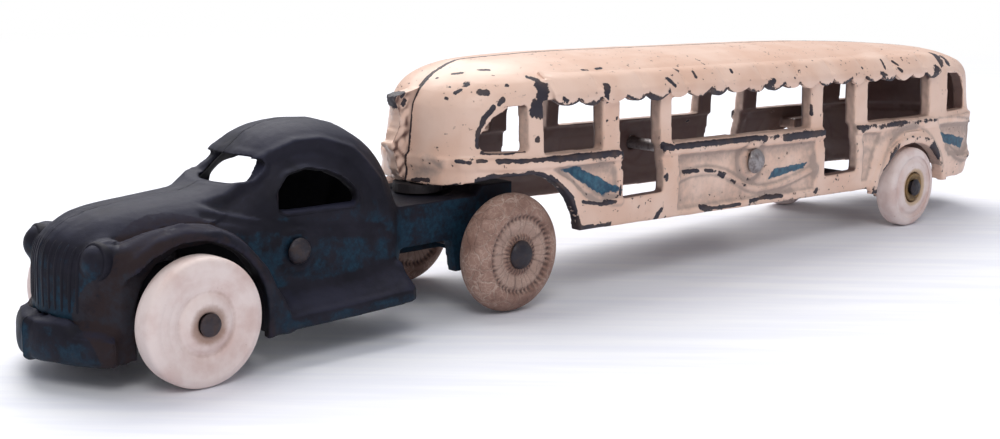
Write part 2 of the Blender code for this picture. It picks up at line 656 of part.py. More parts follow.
def build_tractor_half(name, side, group, cutters, material):
    label = "left" if side < 0 else "right"
    outer = [tractor_ring(tractor_x(x), side, 0.0) for x in tractor_stations]
    half = loft_solid(name, outer, group)
    half.data.materials.append(material)

    stations = [-141.7, -140.9, -139.6, -137.3, -133.5, -128.8, -124.0, -118.0, -113.0, -109.2, -106.4, -104.4]
    fender = loft_solid("fender_" + label, fender_rings(side, stations, 0.0), cutters)
    combine(half, fender, "UNION")

    skirt_rows = [(12.8, 13.6), (15.1, 13.4), (16.0, 12.6), (18.0, 11.0)]
    board_line = board_bottom / mm + board_thick / mm
    skirt_rows += [(board_side / mm - 0.4, board_line), (board_side / mm, board_line - 0.4),
                   (board_side / mm, board_bottom / mm), (12.8, board_bottom / mm)]
    board_rings = []
    for x, lift in ((-107.3, 0.0), (-90.0, 0.3), (-76.5, 0.8), (-74.6, 1.0)):
        tuck = 1.2 if x > -75.0 else 0.0
        board_rings.append([(tractor_x(x), side * max(y - (tuck if y > 17 else 0), 0) * mm, (z + lift) * mm)
                            for y, z in skirt_rows])
    board = loft_solid("board_" + label, board_rings, cutters)
    combine(half, board, "UNION")

    apron_rings = []
    for y, swept in ((0.0, 0.0), (3.0, 0.5), (6.0, 1.7), (9.0, 3.1), (12.0, 4.6), (14.5, 6.0), (16.6, 7.4), (17.8, 9.0)):
        x = nose_x + swept * mm
        y_out = max(y * mm, half_gap)
        low, high = apron_bottom, apron_bottom + apron_height
        apron_rings.append([(x, side * y_out, low + 0.8 * mm), (x, side * y_out, high - 0.8 * mm),
                            (x + 1.0 * mm, side * y_out, high), (x + 5.2 * mm, side * y_out, high),
                            (x + 5.2 * mm, side * y_out, low), (x + 1.0 * mm, side * y_out, low)])
    apron = loft_solid("apron_" + label, apron_rings, cutters)
    combine(half, apron, "UNION")

    pod = ball_solid("lamp_" + label, (tractor_x(-135.7), side * 10.4 * mm, 21.9 * mm),
                     (lamp_radius + 0.4 * mm, lamp_radius - 0.2 * mm, lamp_radius), cutters)
    combine(half, pod, "UNION")

    inner = [tractor_ring(tractor_x(x), side, wall) for x in tractor_stations[5:-2]]
    inner = [[(x, side * max(abs(y), 0.0) if abs(y) > half_gap * 1.5 else -side * mm, z) for x, y, z in ring]
             for ring in inner]
    hollow = loft_solid("hollow_" + label, inner, cutters)
    combine(half, hollow, "DIFFERENCE")
    inside = [-137.8, -135.4, -132.6, -129.0, -124.4, -118.6, -113.4, -109.9, -107.9]
    clear = loft_solid("underside_" + label, fender_rings(side, inside, wall - 0.4 * mm), cutters)
    combine(half, clear, "DIFFERENCE")

    well = [(front_axle_x + arch_radius, -2 * mm)]
    well += arc(front_axle_x, front_tyre_radius, arch_radius, arch_radius, 0, 180, 22)
    well += [(front_axle_x - arch_radius, -2 * mm)]
    well_cut = outline_solid("arch_front_" + label, well, side * 22.5 * mm, 7.0 * mm, cutters)
    combine(half, well_cut, "DIFFERENCE")

    rail_mid = side * (rail_side - wall / 2)
    rail_front = tractor_x(-136.6)
    rail_back = tractor_x(-103.0)
    rail = [(rail_front, rail_bottom), (rail_back, rail_bottom), (rail_back, rail_top), (rail_front, rail_top)]
    chassis = outline_solid("rail_" + label, rail, rail_mid, wall / 2, cutters)
    combine(half, chassis, "UNION")

    tail = rear_axle_x + frame_tail
    side_view = [(cab_back_x - 4.0 * mm, frame_bottom), (rear_axle_x - 11.0 * mm, frame_bottom),
                 (rear_axle_x - 9.8 * mm, bracket_bottom), (rear_axle_x + 4.6 * mm, bracket_bottom),
                 (tail, frame_bottom + 1.2 * mm), (tail, bolster_top),
                 (tail - 8.4 * mm, bolster_top), (tail - 10.2 * mm, deck_top), (cab_back_x - 4.0 * mm, deck_top)]
    frame = outline_solid("frame_" + label, side_view, side * (frame_side + half_gap) / 2,
                          (frame_side - half_gap) / 2, cutters)
    combine(half, frame, "UNION")
    cavity = [(cab_back_x - 1.0 * mm, 0.0), (tail - wall, 0.0), (tail - wall, deck_top - deck_thick),
              (cab_back_x - 1.0 * mm, deck_top - deck_thick)]
    channel = outline_solid("frame_hollow_" + label, cavity, side * ((frame_side - wall) / 2 - 1 * mm),
                            (frame_side - wall) / 2 + 1 * mm, cutters)
    combine(half, channel, "DIFFERENCE")

    moon = [(-101.8, 27.0), (-84.0, 26.8), (-84.4, 28.8), (-87.0, 31.2), (-90.6, 33.0), (-94.6, 33.7), (-98.6, 32.9),
            (-101.2, 30.6)]
    window = outline_solid("door_window_" + label, [(tractor_x(x), z * mm) for x, z in moon],
                           side * 14.0 * mm, 5.0 * mm, cutters)
    combine(half, window, "DIFFERENCE")

    screen_rings = []
    for y, trim in ((-1.0, 0.0), (6.0, 0.1), (9.0, 0.7), (10.8, 1.7)):
        screen_rings.append([(tractor_x(x), side * y * mm, z * mm) for x, z in (
            (-118.0, 32.2 + trim), (-105.0, 31.6 + trim), (-101.0, 36.4 - trim), (-116.0, 36.6 - trim))])
    screen = loft_solid("windscreen_" + label, screen_rings, cutters)
    combine(half, screen, "DIFFERENCE")

    for key, x, z, radius, depth in (
            ("front_axle_hole", front_axle_x, front_tyre_radius, axle_hole_radius, 40 * mm),
            ("rear_axle_hole", rear_axle_x, rear_tyre_radius, axle_hole_radius, 40 * mm),
            ("cab_rivet_hole", cab_rivet_x, cab_rivet_z, rivet_radius + fit_gap, 40 * mm)):
        hole = rod_solid(key + "_" + label, (x, side * 10 * mm, z), radius, depth, "Y", cutters)
        combine(half, hole, "DIFFERENCE")
    deck_hole = rod_solid("deck_hole_" + label, (pivot_x, 0.0, deck_top), pin_hole_radius, 12 * mm, "Z", cutters)
    combine(half, deck_hole, "DIFFERENCE")
    return half


def plain_tyre(radius, width, bore):
    """Solid rubber tyre with rounded edges and a low ring round the bore."""
    half = width / 2
    edge = 1.5 * mm
    radius = facet_radius(radius)
    rim = [(radius - edge * (1 - math.sin(a)), half - edge * (1 - math.cos(a)))
           for a in (0.0, math.pi / 4, math.pi / 2)]
    low_rim = [(r, -h) for r, h in reversed(rim)]
    hub = bore + 2.6 * mm
    return [(hub + 0.6 * mm, half), *rim, *low_rim, (hub, -half), (bore, -half),
            (bore, half + 0.25 * mm), (hub, half + 0.25 * mm)]


def balloon_tyre(radius, width, bore):
    """Fat tyre: a nearly round section, a sunk side wall and a hub face."""
    half = width / 2
    round_over = half * 1.08
    radius = facet_radius(radius)
    flat = math.cos(math.radians(16))
    section = []
    for degrees in (78, 47, 16, -16, -47, -78):
        a = math.radians(degrees)
        section.append((radius - round_over * (flat - math.cos(a)), half * math.sin(a)))
    face = half - 1.1 * mm
    hub = bore + 3.2 * mm
    return [(hub + 1.6 * mm, face), *section, (hub + 1.6 * mm, -face), (hub, -face - 0.3 * mm),
            (bore, -face - 0.3 * mm), (bore, face + 0.3 * mm), (hub, face + 0.3 * mm)]


def spun_rod(name, profile, place, turn, steps, group, material):
    """A (radius, height) profile from end to end on the axis, spun about it."""
    bm = bmesh.new()
    verts = [bm.verts.new((r, 0.0, h)) for r, h in profile]
    for a, b in zip(verts, verts[1:]):
        bm.edges.new((a, b))
    mesh = bpy.data.meshes.new(name)
    bm.to_mesh(mesh)
    bm.free()
    obj = bpy.data.objects.new(name, mesh)
    group.objects.link(obj)
    obj.location = place
    obj.rotation_euler = turn
    spin = obj.modifiers.new("spin", "SCREW")
    spin.steps = steps
    spin.render_steps = steps
    spin.use_merge_vertices = True
    spin.merge_threshold = 0.00001
    mesh.materials.append(material)


def rod_with_heads(name, x, z, reach, radius, head, group, material, slid=0.0):
    """An axle or rivet across the toy, with a domed head past each end of its reach."""
    dome = head * 0.5
    ends = [(0.0, reach + dome), (head * 0.55, reach + dome * 0.82), (head * 0.9, reach + dome * 0.4), (head, reach)]
    profile = ends + [(radius, reach)]
    profile += [(r, -h) for r, h in reversed(profile)]
    spun_rod(name, profile, (x, slid, z), (-math.pi / 2, 0.0, 0.0), 20, group, material)


def build_king_pin(group, material):
    """Stud clamped between the halves of the trailer's nose, with a collar and a shank below."""
    collar_low = deck_top + fit_gap
    collar_high = neck_height - nose_drop - fit_gap
    neck_top = neck_height + neck_plate + 1.5 * mm
    shank_end = deck_top - pin_depth
    profile = [(0.0, neck_top), (pin_neck_radius, neck_top), (pin_neck_radius, collar_high),
               (pin_collar_radius, collar_high), (pin_collar_radius, collar_low), (pin_shank_radius, collar_low),
               (pin_shank_radius, shank_end), (pin_shank_radius - 0.6 * mm, shank_end - 0.8 * mm),
               (0.0, shank_end - 0.8 * mm)]
    spun_rod("king_pin", profile, (pivot_x, 0.0, 0.0), (0.0, 0.0, 0.0), 24, group, material)


def build_wheels(group, materials):
    bore = axle_radius + fit_gap
    wheels = (
        ("front_tyre", front_axle_x, front_tyre_radius, front_tyre_width, front_track_half, plain_tyre, bore,
         materials["white_rubber"]),
        ("rear_tyre", rear_axle_x, rear_tyre_radius, rear_tyre_width, rear_track_half, balloon_tyre, bore,
         materials["old_rubber"]),
        ("trailer_tyre", trailer_axle_x, trailer_tyre_radius, trailer_tyre_width, trailer_track_half, plain_tyre,
         bush_radius + fit_gap, materials["white_rubber"]),
    )
    for key, x, radius, width, track, shape, hole, material in wheels:
        for side, label in ((-1, "left"), (1, "right")):
            slid = front_axle_slid if key == "front_tyre" else 0.0
            place = (x, side * (track - width / 2) + slid, radius)
            turned(key + "_" + label, shape(radius, width, hole), place, group, material, side)
    half = trailer_tyre_width / 2
    for side, label in ((-1, "left"), (1, "right")):
        place = (trailer_axle_x, side * (trailer_track_half - half), trailer_tyre_radius)
        ring = [(bush_radius, half + 0.2 * mm), (bush_radius, -half - 0.2 * mm), (bore, -half - 0.2 * mm),
                (bore, half + 0.2 * mm)]
        turned("trailer_bush_" + label, ring, place, group, materials["brass"], side)


def build_rods(group, materials):
    steel = materials["steel"]
    gap = fit_gap + 0.25 * mm
    rod_with_heads("front_axle", front_axle_x, front_tyre_radius, front_track_half + gap,
                   axle_radius, front_head_radius, group, steel, front_axle_slid)
    rear_face = rear_track_half - 0.8 * mm
    rod_with_heads("rear_axle", rear_axle_x, rear_tyre_radius, rear_face + fit_gap,
                   axle_radius, rear_head_radius, group, steel)
    rod_with_heads("trailer_axle", trailer_axle_x, trailer_tyre_radius, trailer_track_half + gap,
                   axle_radius, trailer_head_radius, group, steel)
    cab_face = tractor_half_width(cab_rivet_x) * 1.02
    rod_with_heads("cab_rivet", cab_rivet_x, cab_rivet_z, cab_face + fit_gap,
                   rivet_radius, rivet_head_radius, group, steel)
    rod_with_heads("body_rivet", body_rivet_x, body_rivet_z, body_side + fit_gap,
                   rivet_radius, body_rivet_head, group, steel)


def main():
    clear_scene()
    parts = new_collection("toy_truck_and_trailer")
    cutters = new_collection("cutters")
    materials = {
        "blue_iron": make_material("blue_iron", (0.035, 0.045, 0.065), 0.55, 0.3),
        "cream_paint": make_material("cream_paint", (0.72, 0.50, 0.33), 0.45, 0.0),
        "white_rubber": make_material("white_rubber", (0.80, 0.68, 0.66), 0.7, 0.0),
        "old_rubber": make_material("old_rubber", (0.30, 0.17, 0.13), 0.8, 0.0),
        "steel": make_material("steel", (0.20, 0.17, 0.17), 0.5, 0.9),
        "brass": make_material("brass", (0.55, 0.35, 0.10), 0.4, 0.9),
    }
    for side, label in ((-1, "left"), (1, "right")):
        build_tractor_half("tractor_%s_half" % label, side, parts, cutters, materials["blue_iron"])
        build_trailer_half("trailer_%s_half" % label, side, parts, cutters, materials["cream_paint"])
    build_wheels(parts, materials)
    build_rods(parts, materials)
    build_king_pin(parts, materials["steel"])


main()
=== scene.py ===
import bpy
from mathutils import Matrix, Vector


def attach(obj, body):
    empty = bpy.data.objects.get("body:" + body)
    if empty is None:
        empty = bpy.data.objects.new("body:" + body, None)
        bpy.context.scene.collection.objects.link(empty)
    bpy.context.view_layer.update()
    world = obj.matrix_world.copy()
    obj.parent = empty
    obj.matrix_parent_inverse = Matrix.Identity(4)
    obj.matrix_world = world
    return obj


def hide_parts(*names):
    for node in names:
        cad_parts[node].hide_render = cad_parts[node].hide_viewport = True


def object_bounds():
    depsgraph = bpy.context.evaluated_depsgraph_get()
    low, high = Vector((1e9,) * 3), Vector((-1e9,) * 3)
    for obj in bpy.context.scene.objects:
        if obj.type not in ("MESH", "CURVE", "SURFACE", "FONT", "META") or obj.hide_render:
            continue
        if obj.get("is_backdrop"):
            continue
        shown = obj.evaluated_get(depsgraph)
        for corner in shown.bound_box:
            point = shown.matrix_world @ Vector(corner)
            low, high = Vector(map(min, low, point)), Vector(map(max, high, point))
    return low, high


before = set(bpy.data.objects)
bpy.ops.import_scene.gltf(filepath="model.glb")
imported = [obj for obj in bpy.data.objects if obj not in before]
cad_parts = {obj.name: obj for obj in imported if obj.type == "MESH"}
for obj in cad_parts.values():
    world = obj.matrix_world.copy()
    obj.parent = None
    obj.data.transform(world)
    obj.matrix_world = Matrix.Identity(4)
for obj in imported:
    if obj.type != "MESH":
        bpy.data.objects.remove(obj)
cadBox = [list(corner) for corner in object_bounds()]

import math

import bmesh
import bpy
import numpy as np
from mathutils import Matrix, Vector
from mathutils.bvhtree import BVHTree

mm = 0.001
sides = ((-1, "left"), (1, "right"))
print("frame loaded,", len(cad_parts), "nodes")


def addObject(name, data):
    made = bpy.data.objects.new(name, data)
    bpy.context.scene.collection.objects.link(made)
    return made


# the camera stands where the photograph was taken from
cameraFit = {"place": (-257.11, -235.15, 78.89), "turn": 0.7594, "down": 0.1943, "roll": 0.014,
             "lens": 54.0, "focal": 1500.0, "middle": (500.0, 218.8), "shift": -0.0007}


def cameraAxes(fit):
    # right, up and ahead of a level camera turned, tipped down and rolled
    turn, down, roll = fit["turn"], fit["down"], fit["roll"]
    ahead = np.array([math.sin(turn) * math.cos(down), math.cos(turn) * math.cos(down), -math.sin(down)])
    level = np.array([math.cos(turn), -math.sin(turn), 0.0])
    upright = np.cross(level, ahead)
    right = math.cos(roll) * level + math.sin(roll) * upright
    up = math.cos(roll) * upright - math.sin(roll) * level
    return right, up, ahead


def makeCamera(fit):
    right, up, ahead = cameraAxes(fit)
    data = bpy.data.cameras.new("photoCamera")
    data.lens = fit["lens"]
    data.sensor_width = 36.0
    data.shift_y = fit["shift"]
    data.clip_start = 0.01
    data.clip_end = 50.0
    camera = addObject("photoCamera", data)
    turned = Matrix((right, up, -ahead)).transposed().to_4x4()
    camera.matrix_world = Matrix.Translation(Vector(fit["place"]) * mm) @ turned
    bpy.context.scene.camera = camera


makeCamera(cameraFit)
print("camera in place")


# small helpers for arrays of points, all in millimetres

def step(value, low, high):
    # a smooth rise from 0 at low to 1 at high
    t = np.clip((value - low) / (high - low), 0.0, 1.0)
    return t * t * (3.0 - 2.0 * t)


def lumps(points, size, seed):
    # a soft random field, mostly between -1 and 1, from twelve sine waves in random directions
    random = np.random.default_rng(seed)
    total = np.zeros(len(points))
    for _ in range(12):
        way = random.normal(size=3)
        way *= random.uniform(0.6, 1.5) / (np.linalg.norm(way) * size)
        total += np.sin(points @ way * 2.0 * math.pi + random.uniform(0.0, 6.28))
    return total / 4.0


def lineDistance(points, line):
    # distance from each point to the nearest place on an open line
    line = np.asarray(line, float)
    best = np.full(len(points), 1e9)
    for a, b in zip(line[:-1], line[1:]):
        along = b - a
        t = np.clip(((points - a) @ along) / max(along @ along, 1e-12), 0.0, 1.0)
        best = np.minimum(best, np.linalg.norm(points - a - t[:, None] * along, axis=1))
    return best


def spotDistance(points, spot):
    return np.hypot(*(points - spot).T)


def ridge(away, width):
    # 1 on a line and falling off softly to both sides of it
    return np.exp(-(away / width) ** 2)


def inside(points, outline):
    # true inside a flat outline, by counting crossings
    outline = np.asarray(outline, float)
    count = np.zeros(len(points), int)
    for a, b in zip(outline, np.roll(outline, -1, axis=0)):
        crosses = (a[1] > points[:, 1]) != (b[1] > points[:, 1])
        rise = b[1] - a[1] if b[1] != a[1] else 1e-9
        count += crosses & (points[:, 0] < a[0] + (points[:, 1] - a[1]) * (b[0] - a[0]) / rise)
    return count % 2 == 1


def depthInside(points, outline):
    # distance from the outline, positive inside it and negative outside
    away = lineDistance(points, outline + outline[:1])
    return np.where(inside(points, outline), away, -away)


def sunk(points, outline, slope):
    # 1 well inside an outline, 0 outside, with an edge as wide as the slope
    return step(depthInside(points, outline), -slope / 2, slope / 2)


def rounded(points, rounds, closed=True):
    # corner cutting: each side keeps its middle half, rounds times over
    points = np.asarray(points, float)
    for _ in range(rounds):
        ahead = np.roll(points, -1, axis=0)
        near, far = points * 0.75 + ahead * 0.25, points * 0.25 + ahead * 0.75
        pairs = np.stack([near, far], axis=1).reshape(-1, points.shape[1])
        points = pairs if closed else np.vstack([points[:1], pairs[1:-3], points[-1:]])
    return points


def pieceFromMesh(name, mesh, finish, body):
    piece = addObject(name, mesh)
    mesh.materials.clear()
    mesh.materials.append(finish)
    mesh.polygons.foreach_set("use_smooth", np.ones(len(mesh.polygons), bool))
    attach(piece, body)
    return piece


def gridMesh(name, points, closeRows=False, closeColumns=False):
    # quads between neighbours on a grid of points (rows, columns, 3), in millimetres
    rows, columns = points.shape[:2]
    index = np.arange(rows * columns).reshape(rows, columns)
    if closeRows:
        index = np.vstack([index, index[:1]])
    if closeColumns:
        index = np.hstack([index, index[:, :1]])
    faces = np.stack([index[:-1, :-1], index[:-1, 1:], index[1:, 1:], index[1:, :-1]], axis=-1)
    mesh = bpy.data.meshes.new(name)
    mesh.from_pydata((points.reshape(-1, 3) * mm).tolist(), [], faces.reshape(-1, 4).tolist())
    return mesh


def tidyMesh(mesh):
    # merges the doubles at poles and points all faces outwards
    bm = bmesh.new()
    bm.from_mesh(mesh)
    bmesh.ops.remove_doubles(bm, verts=bm.verts, dist=1e-6)
    bmesh.ops.recalc_face_normals(bm, faces=bm.faces)
    bm.to_mesh(mesh)
    bm.free()
    return mesh


def meshArrays(mesh):
    # places in millimetres, unit normals and the two ends of each edge
    place = np.empty(len(mesh.vertices) * 3)
    mesh.vertices.foreach_get("co", place)
    normal = np.empty(len(mesh.vertices) * 3)
    mesh.vertex_normals.foreach_get("vector", normal)
    ends = np.empty(len(mesh.edges) * 2, int)
    mesh.edges.foreach_get("vertices", ends)
    return place.reshape(-1, 3) / mm, normal.reshape(-1, 3), ends.reshape(-1, 2)


def setPlaces(mesh, place):
    mesh.vertices.foreach_set("co", (place * mm).ravel())
    mesh.update()


def spread(values, ends, rounds):
    # each round replaces a value by the mean of its neighbours'
    count = np.bincount(ends.ravel(), minlength=len(values))
    for _ in range(rounds):
        total = np.bincount(ends[:, 0], values[ends[:, 1]], len(values))
        total += np.bincount(ends[:, 1], values[ends[:, 0]], len(values))
        values = total / np.maximum(count, 1)
    return values


def evened(values, ends, rounds):
    # the same spread, without the pattern of alternate points that it leaves on a grid of squares
    values = spread(values, ends, rounds)
    return (values + spread(values, ends, 1)) / 2.0


def eachAxis(smooth, vectors, ends, rounds):
    return np.stack([smooth(vectors[:, axis], ends, rounds) for axis in range(3)], axis=1)


def sharpness(place, normal, ends, rounds):
    # how far each point stands out of the mean of its neighbours, positive on edges
    mean = eachAxis(spread, place, ends, 1)
    out = ((place - mean) * normal).sum(axis=1)
    return spread(out, ends, rounds)


def fairing(place, normal, ends, rounds, edge=0.42):
    # how far each point has to move along its normal to even out flat facets: held back near sharp edges,
    # where it would be more than edge, and whole
    shift = ((eachAxis(evened, place, ends, rounds) - place) * normal).sum(axis=1)
    sharp = evened((np.abs(shift) > edge).astype(float), ends, 14)
    return evened(shift * (1.0 - step(sharp, 0.01, 0.12)), ends, 2), shift


def softNormals(normal, ends, rounds):
    # unit normals without the small steps of the skin, so that edges stay even when they are moved
    soft = eachAxis(evened, normal, ends, rounds)
    return soft / np.maximum(np.linalg.norm(soft, axis=1), 1e-6)[:, None]


def setFields(mesh, **values):
    # one number for each vertex, or the same for all
    for name, value in values.items():
        field = mesh.attributes.new(name, "FLOAT", "POINT")
        field.data.foreach_set("value", np.array(np.broadcast_to(value, len(mesh.vertices)), np.float32))


matingGap = 0.03


def castingSkin(name, node, side, cell, rounds):
    # a copy of the CAD casting run past the joint, skinned with small even faces, rounded like a sand
    # casting and pressed flat where the two halves meet
    work = addObject(name + "_work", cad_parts[node].data.copy())
    tidyMesh(work.data)
    place = meshArrays(work.data)[0]
    place[np.abs(place[:, 1]) < 0.2, 1] = -side * 1.0
    setPlaces(work.data, place)
    skin = work.modifiers.new("skin", "REMESH")
    skin.mode = "VOXEL"
    skin.voxel_size = cell * mm
    soft = work.modifiers.new("soft", "SMOOTH")
    soft.factor = 0.5
    soft.iterations = rounds
    graph = bpy.context.evaluated_depsgraph_get()
    mesh = bpy.data.meshes.new_from_object(work.evaluated_get(graph))
    mesh.name = name
    old = work.data
    bpy.data.objects.remove(work)
    bpy.data.meshes.remove(old)
    place = meshArrays(mesh)[0]
    place[place[:, 1] * side < matingGap, 1] = side * matingGap
    setPlaces(mesh, place)
    return mesh


def lengths(mesh, name, cuts, finish, body):
    # the same skin in lengths along X, each vertex keeping its normal and its fields
    place, normal, _ = meshArrays(mesh)
    corners = np.empty(len(mesh.loops), int)
    mesh.loops.foreach_get("vertex_index", corners)
    faces = corners.reshape(-1, 4)
    middle = place[faces, 0].mean(axis=1)
    fields = {}
    for data in mesh.attributes:
        if data.data_type == "FLOAT" and data.domain == "POINT":
            fields[data.name] = np.empty(len(place), np.float32)
            data.data.foreach_get("value", fields[data.name])
    pieces = []
    for number, (low, high) in enumerate(zip([-999.0] + cuts, cuts + [999.0])):
        used, local = np.unique(faces[(middle >= low) & (middle < high)], return_inverse=True)
        part = bpy.data.meshes.new("%s_%d" % (name, number))
        part.from_pydata((place[used] * mm).tolist(), [], local.reshape(-1, 4).tolist())
        setFields(part, **{key: values[used] for key, values in fields.items()})
        pieces.append(pieceFromMesh("%s_%d" % (name, number), part, finish, body))
        part.normals_split_custom_set_from_vertices(normal[used].tolist())
    bpy.data.meshes.remove(mesh)
    return pieces


def surfaceTree(mesh):
    mesh.calc_loop_triangles()
    corners = np.empty(len(mesh.vertices) * 3)
    mesh.vertices.foreach_get("co", corners)
    faces = np.empty(len(mesh.loop_triangles) * 3, int)
    mesh.loop_triangles.foreach_get("vertices", faces)
    return BVHTree.FromPolygons(corners.reshape(-1, 3).tolist(), faces.reshape(-1, 3).tolist())


def photoPoint(px, py, tree):
    # where the line of sight through a pixel of the photograph meets the piece, and a pixel's size there
    right, up, ahead = cameraAxes(cameraFit)
    focal, (mx, my) = cameraFit["focal"], cameraFit["middle"]
    way = ahead + right * (px - mx) / focal - up * (py - my) / focal
    hit, _, _, far = tree.ray_cast(Vector(cameraFit["place"]) * mm, Vector(way).normalized())
    return (np.array(hit) / mm, far / mm / focal) if hit else (None, 0.0)


def strokeField(place, strokes, tree, least=0.4, longest=60.0):
    # 0.5 at each stroke's edge and 1 on its middle line; a stroke is a half width and its pixels
    field = np.zeros(len(place))
    for half, pixels in strokes:
        hits = [photoPoint(px, py, tree) for px, py in pixels]
        line = [spot for spot, _ in hits if spot is not None]
        if not line:
            continue
        size = max(half * max(scale for _, scale in hits), least)
        near = np.flatnonzero(np.linalg.norm(place - np.mean(line, axis=0), axis=1) < longest)
        away = lineDistance(place[near], line if len(line) > 1 else line * 2)
        field[near] = np.maximum(field[near], 1.0 - away / (2.0 * size))
    return field


class Wire:
    # one socket's output: arithmetic on it adds Math nodes, and node() adds any other
    def __init__(self, tree, socket):
        self.tree = tree
        self.socket = socket

    def node(self, kind, settings=None, values=None, out=0):
        made = self.tree.nodes.new("ShaderNode" + kind)
        for key, value in (settings or {}).items():
            setattr(made, key, value)
        for key, value in (values or {}).items():
            if isinstance(value, Wire):
                self.tree.links.new(value.socket, made.inputs[key])
            elif isinstance(value, tuple) and made.inputs[key].type == "RGBA":
                made.inputs[key].default_value = (*value, 1.0)
            else:
                made.inputs[key].default_value = value
        return Wire(self.tree, made.outputs[out])

    def maths(self, operation, first, second=0.0):
        return self.node("Math", {"operation": operation}, {0: first, 1: second})

    def __add__(self, other):
        return self.maths("ADD", self, other)

    def __radd__(self, other):
        return self.maths("ADD", other, self)

    def __sub__(self, other):
        return self.maths("SUBTRACT", self, other)

    def __rsub__(self, other):
        return self.maths("SUBTRACT", other, self)

    def __mul__(self, other):
        return self.maths("MULTIPLY", self, other)

    def __rmul__(self, other):
        return self.maths("MULTIPLY", other, self)

    def most(self, other):
        return self.maths("MAXIMUM", self, other)

    def ramp(self, low, high):
        # a smooth mask from 0 at low to 1 at high
        return self.node("MapRange", {"interpolation_type": "SMOOTHSTEP"},
                         {"Value": self, "From Min": low, "From Max": high})

    def blend(self, first, second):
        # the first colour where this mask is 0, the second where it is 1
        return self.node("Mix", {"data_type": "RGBA"}, {0: self, 6: first, 7: second}, 2)

    def noise(self, size, detail=4.0, rough=0.55):
        # cloud noise around 0.5 whose main lumps are size millimetres wide; self is the place
        return self.node("TexNoise", {}, {"Vector": self, "Scale": 1.0 / (size * mm), "Detail": detail,
                                          "Roughness": rough}, "Fac")

    def cracks(self, size):
        # distance to the nearest edge between random cells size millimetres wide
        return self.node("TexVoronoi", {"feature": "DISTANCE_TO_EDGE"},
                         {"Vector": self, "Scale": 1.0 / (size * mm)}, "Distance")

    def bump(self, depth):
        # a normal from this height, where 1 stands depth millimetres high
        return self.node("Bump", {}, {"Height": self, "Distance": depth * mm, "Strength": 1.0})


def startFinish(name):
    material = bpy.data.materials.new(name)
    material.use_nodes = True
    shader = material.node_tree.nodes["Principled BSDF"]
    start = Wire(material.node_tree, shader.outputs[0])
    place = start.node("TexCoord", {}, {}, "Object")
    return material, shader, place


def field(start, name):
    return start.node("Attribute", {"attribute_name": name}, {}, "Fac")


def plug(shader, **wires):
    for key, wire in wires.items():
        shader.id_data.links.new(wire.socket, shader.inputs[key.replace("_", " ")])


# finishes

creamPaint = {"cream": (0.84, 0.600, 0.485), "pink": (0.76, 0.495, 0.375), "dustAndShade": (0.34, 0.265, 0.235),
              "iron": (0.024, 0.019, 0.030), "rust": (0.075, 0.045, 0.038), "teal": (0.008, 0.050, 0.100),
              "paleTeal": (0.035, 0.135, 0.200), "inside": (0.135, 0.074, 0.066),
              "paleInside": (0.17, 0.105, 0.085), "chipRim": (0.86, 0.68, 0.58), "gloss": 0.30}


def makeCream(name, colours):
    # chipped enamel over dark iron, with dust, painted shade in its corners and round its relief, and brown
    # inside
    material, shader, place = startFinish(name)
    broad = place.noise(14.0, 3.0)
    fine = place.noise(1.6, 5.0, 0.65)
    ragged = place.noise(1.9, 8.0, 0.75)
    blotch = place.noise(5.0, 4.0, 0.6)
    paint = broad.ramp(0.35, 0.68).blend(colours["cream"], colours["pink"])
    paint = (fine.ramp(0.60, 0.80) * 0.25).blend(paint, colours["dustAndShade"])
    # painted shade and real dirt: the grime field darkens hollows, panel edges, bead sides, folds and rings
    # as painted shade, and holds real dirt patches
    dirtAndShade = field(place, "grime") + (fine - 0.5) * 0.8 + (broad - 0.5) * 0.6
    paint = (dirtAndShade.ramp(0.25, 1.1) * 0.85).blend(paint, colours["dustAndShade"])
    tealMask = (field(place, "teal") + (ragged - 0.5) * 0.9).ramp(0.46, 0.56)
    tealTone = (fine + (ragged - 0.5)).ramp(0.35, 0.75).blend(colours["teal"], colours["paleTeal"])
    paint = tealMask.blend(paint, tealTone)
    inner = field(place, "inside")
    innerTone = (broad + fine * 0.5).ramp(0.5, 1.0).blend(colours["inside"], colours["paleInside"])
    paint = inner.blend(paint, innerTone)
    specks = place.noise(1.2, 3.0, 0.6).ramp(0.665, 0.69) * broad.ramp(0.40, 0.55)
    edge = field(place, "bare") + (ragged - 0.5) * 1.5 + (blotch - 0.5) * 0.9
    bare = edge.ramp(0.47, 0.53).most(specks * (1.0 - inner))
    iron = place.noise(3.5, 4.0).ramp(0.42, 0.75).blend(colours["iron"], colours["rust"])
    colour = bare.blend(paint, iron)
    rim = (edge.ramp(0.40, 0.47) - edge.ramp(0.47, 0.50)).ramp(0.2, 1.0) * 0.35
    colour = rim.blend(colour, colours["chipRim"])
    rough = colours["gloss"] + dirtAndShade.ramp(0.2, 1.2) * 0.35 + bare * 0.18 + fine * 0.10
    height = (1.0 - bare) * 0.55 + fine * 0.12 + place.noise(5.0, 2.0) * 0.18
    plug(shader, Base_Color=colour, Roughness=rough, Normal=height.bump(0.26))
    shader.inputs["Specular IOR Level"].default_value = 0.5
    return material


# worn is the paler iron of rubbed edges, and also a painted sheen on the tractor's tops
blueIron = {"iron": (0.008, 0.0075, 0.013), "grey": (0.017, 0.016, 0.026), "worn": (0.022, 0.023, 0.043),
            "rust": (0.042, 0.026, 0.024), "blue": (0.006, 0.022, 0.042), "paleBlue": (0.011, 0.048, 0.082),
            "dark": (0.008, 0.007, 0.010), "gloss": 0.52}


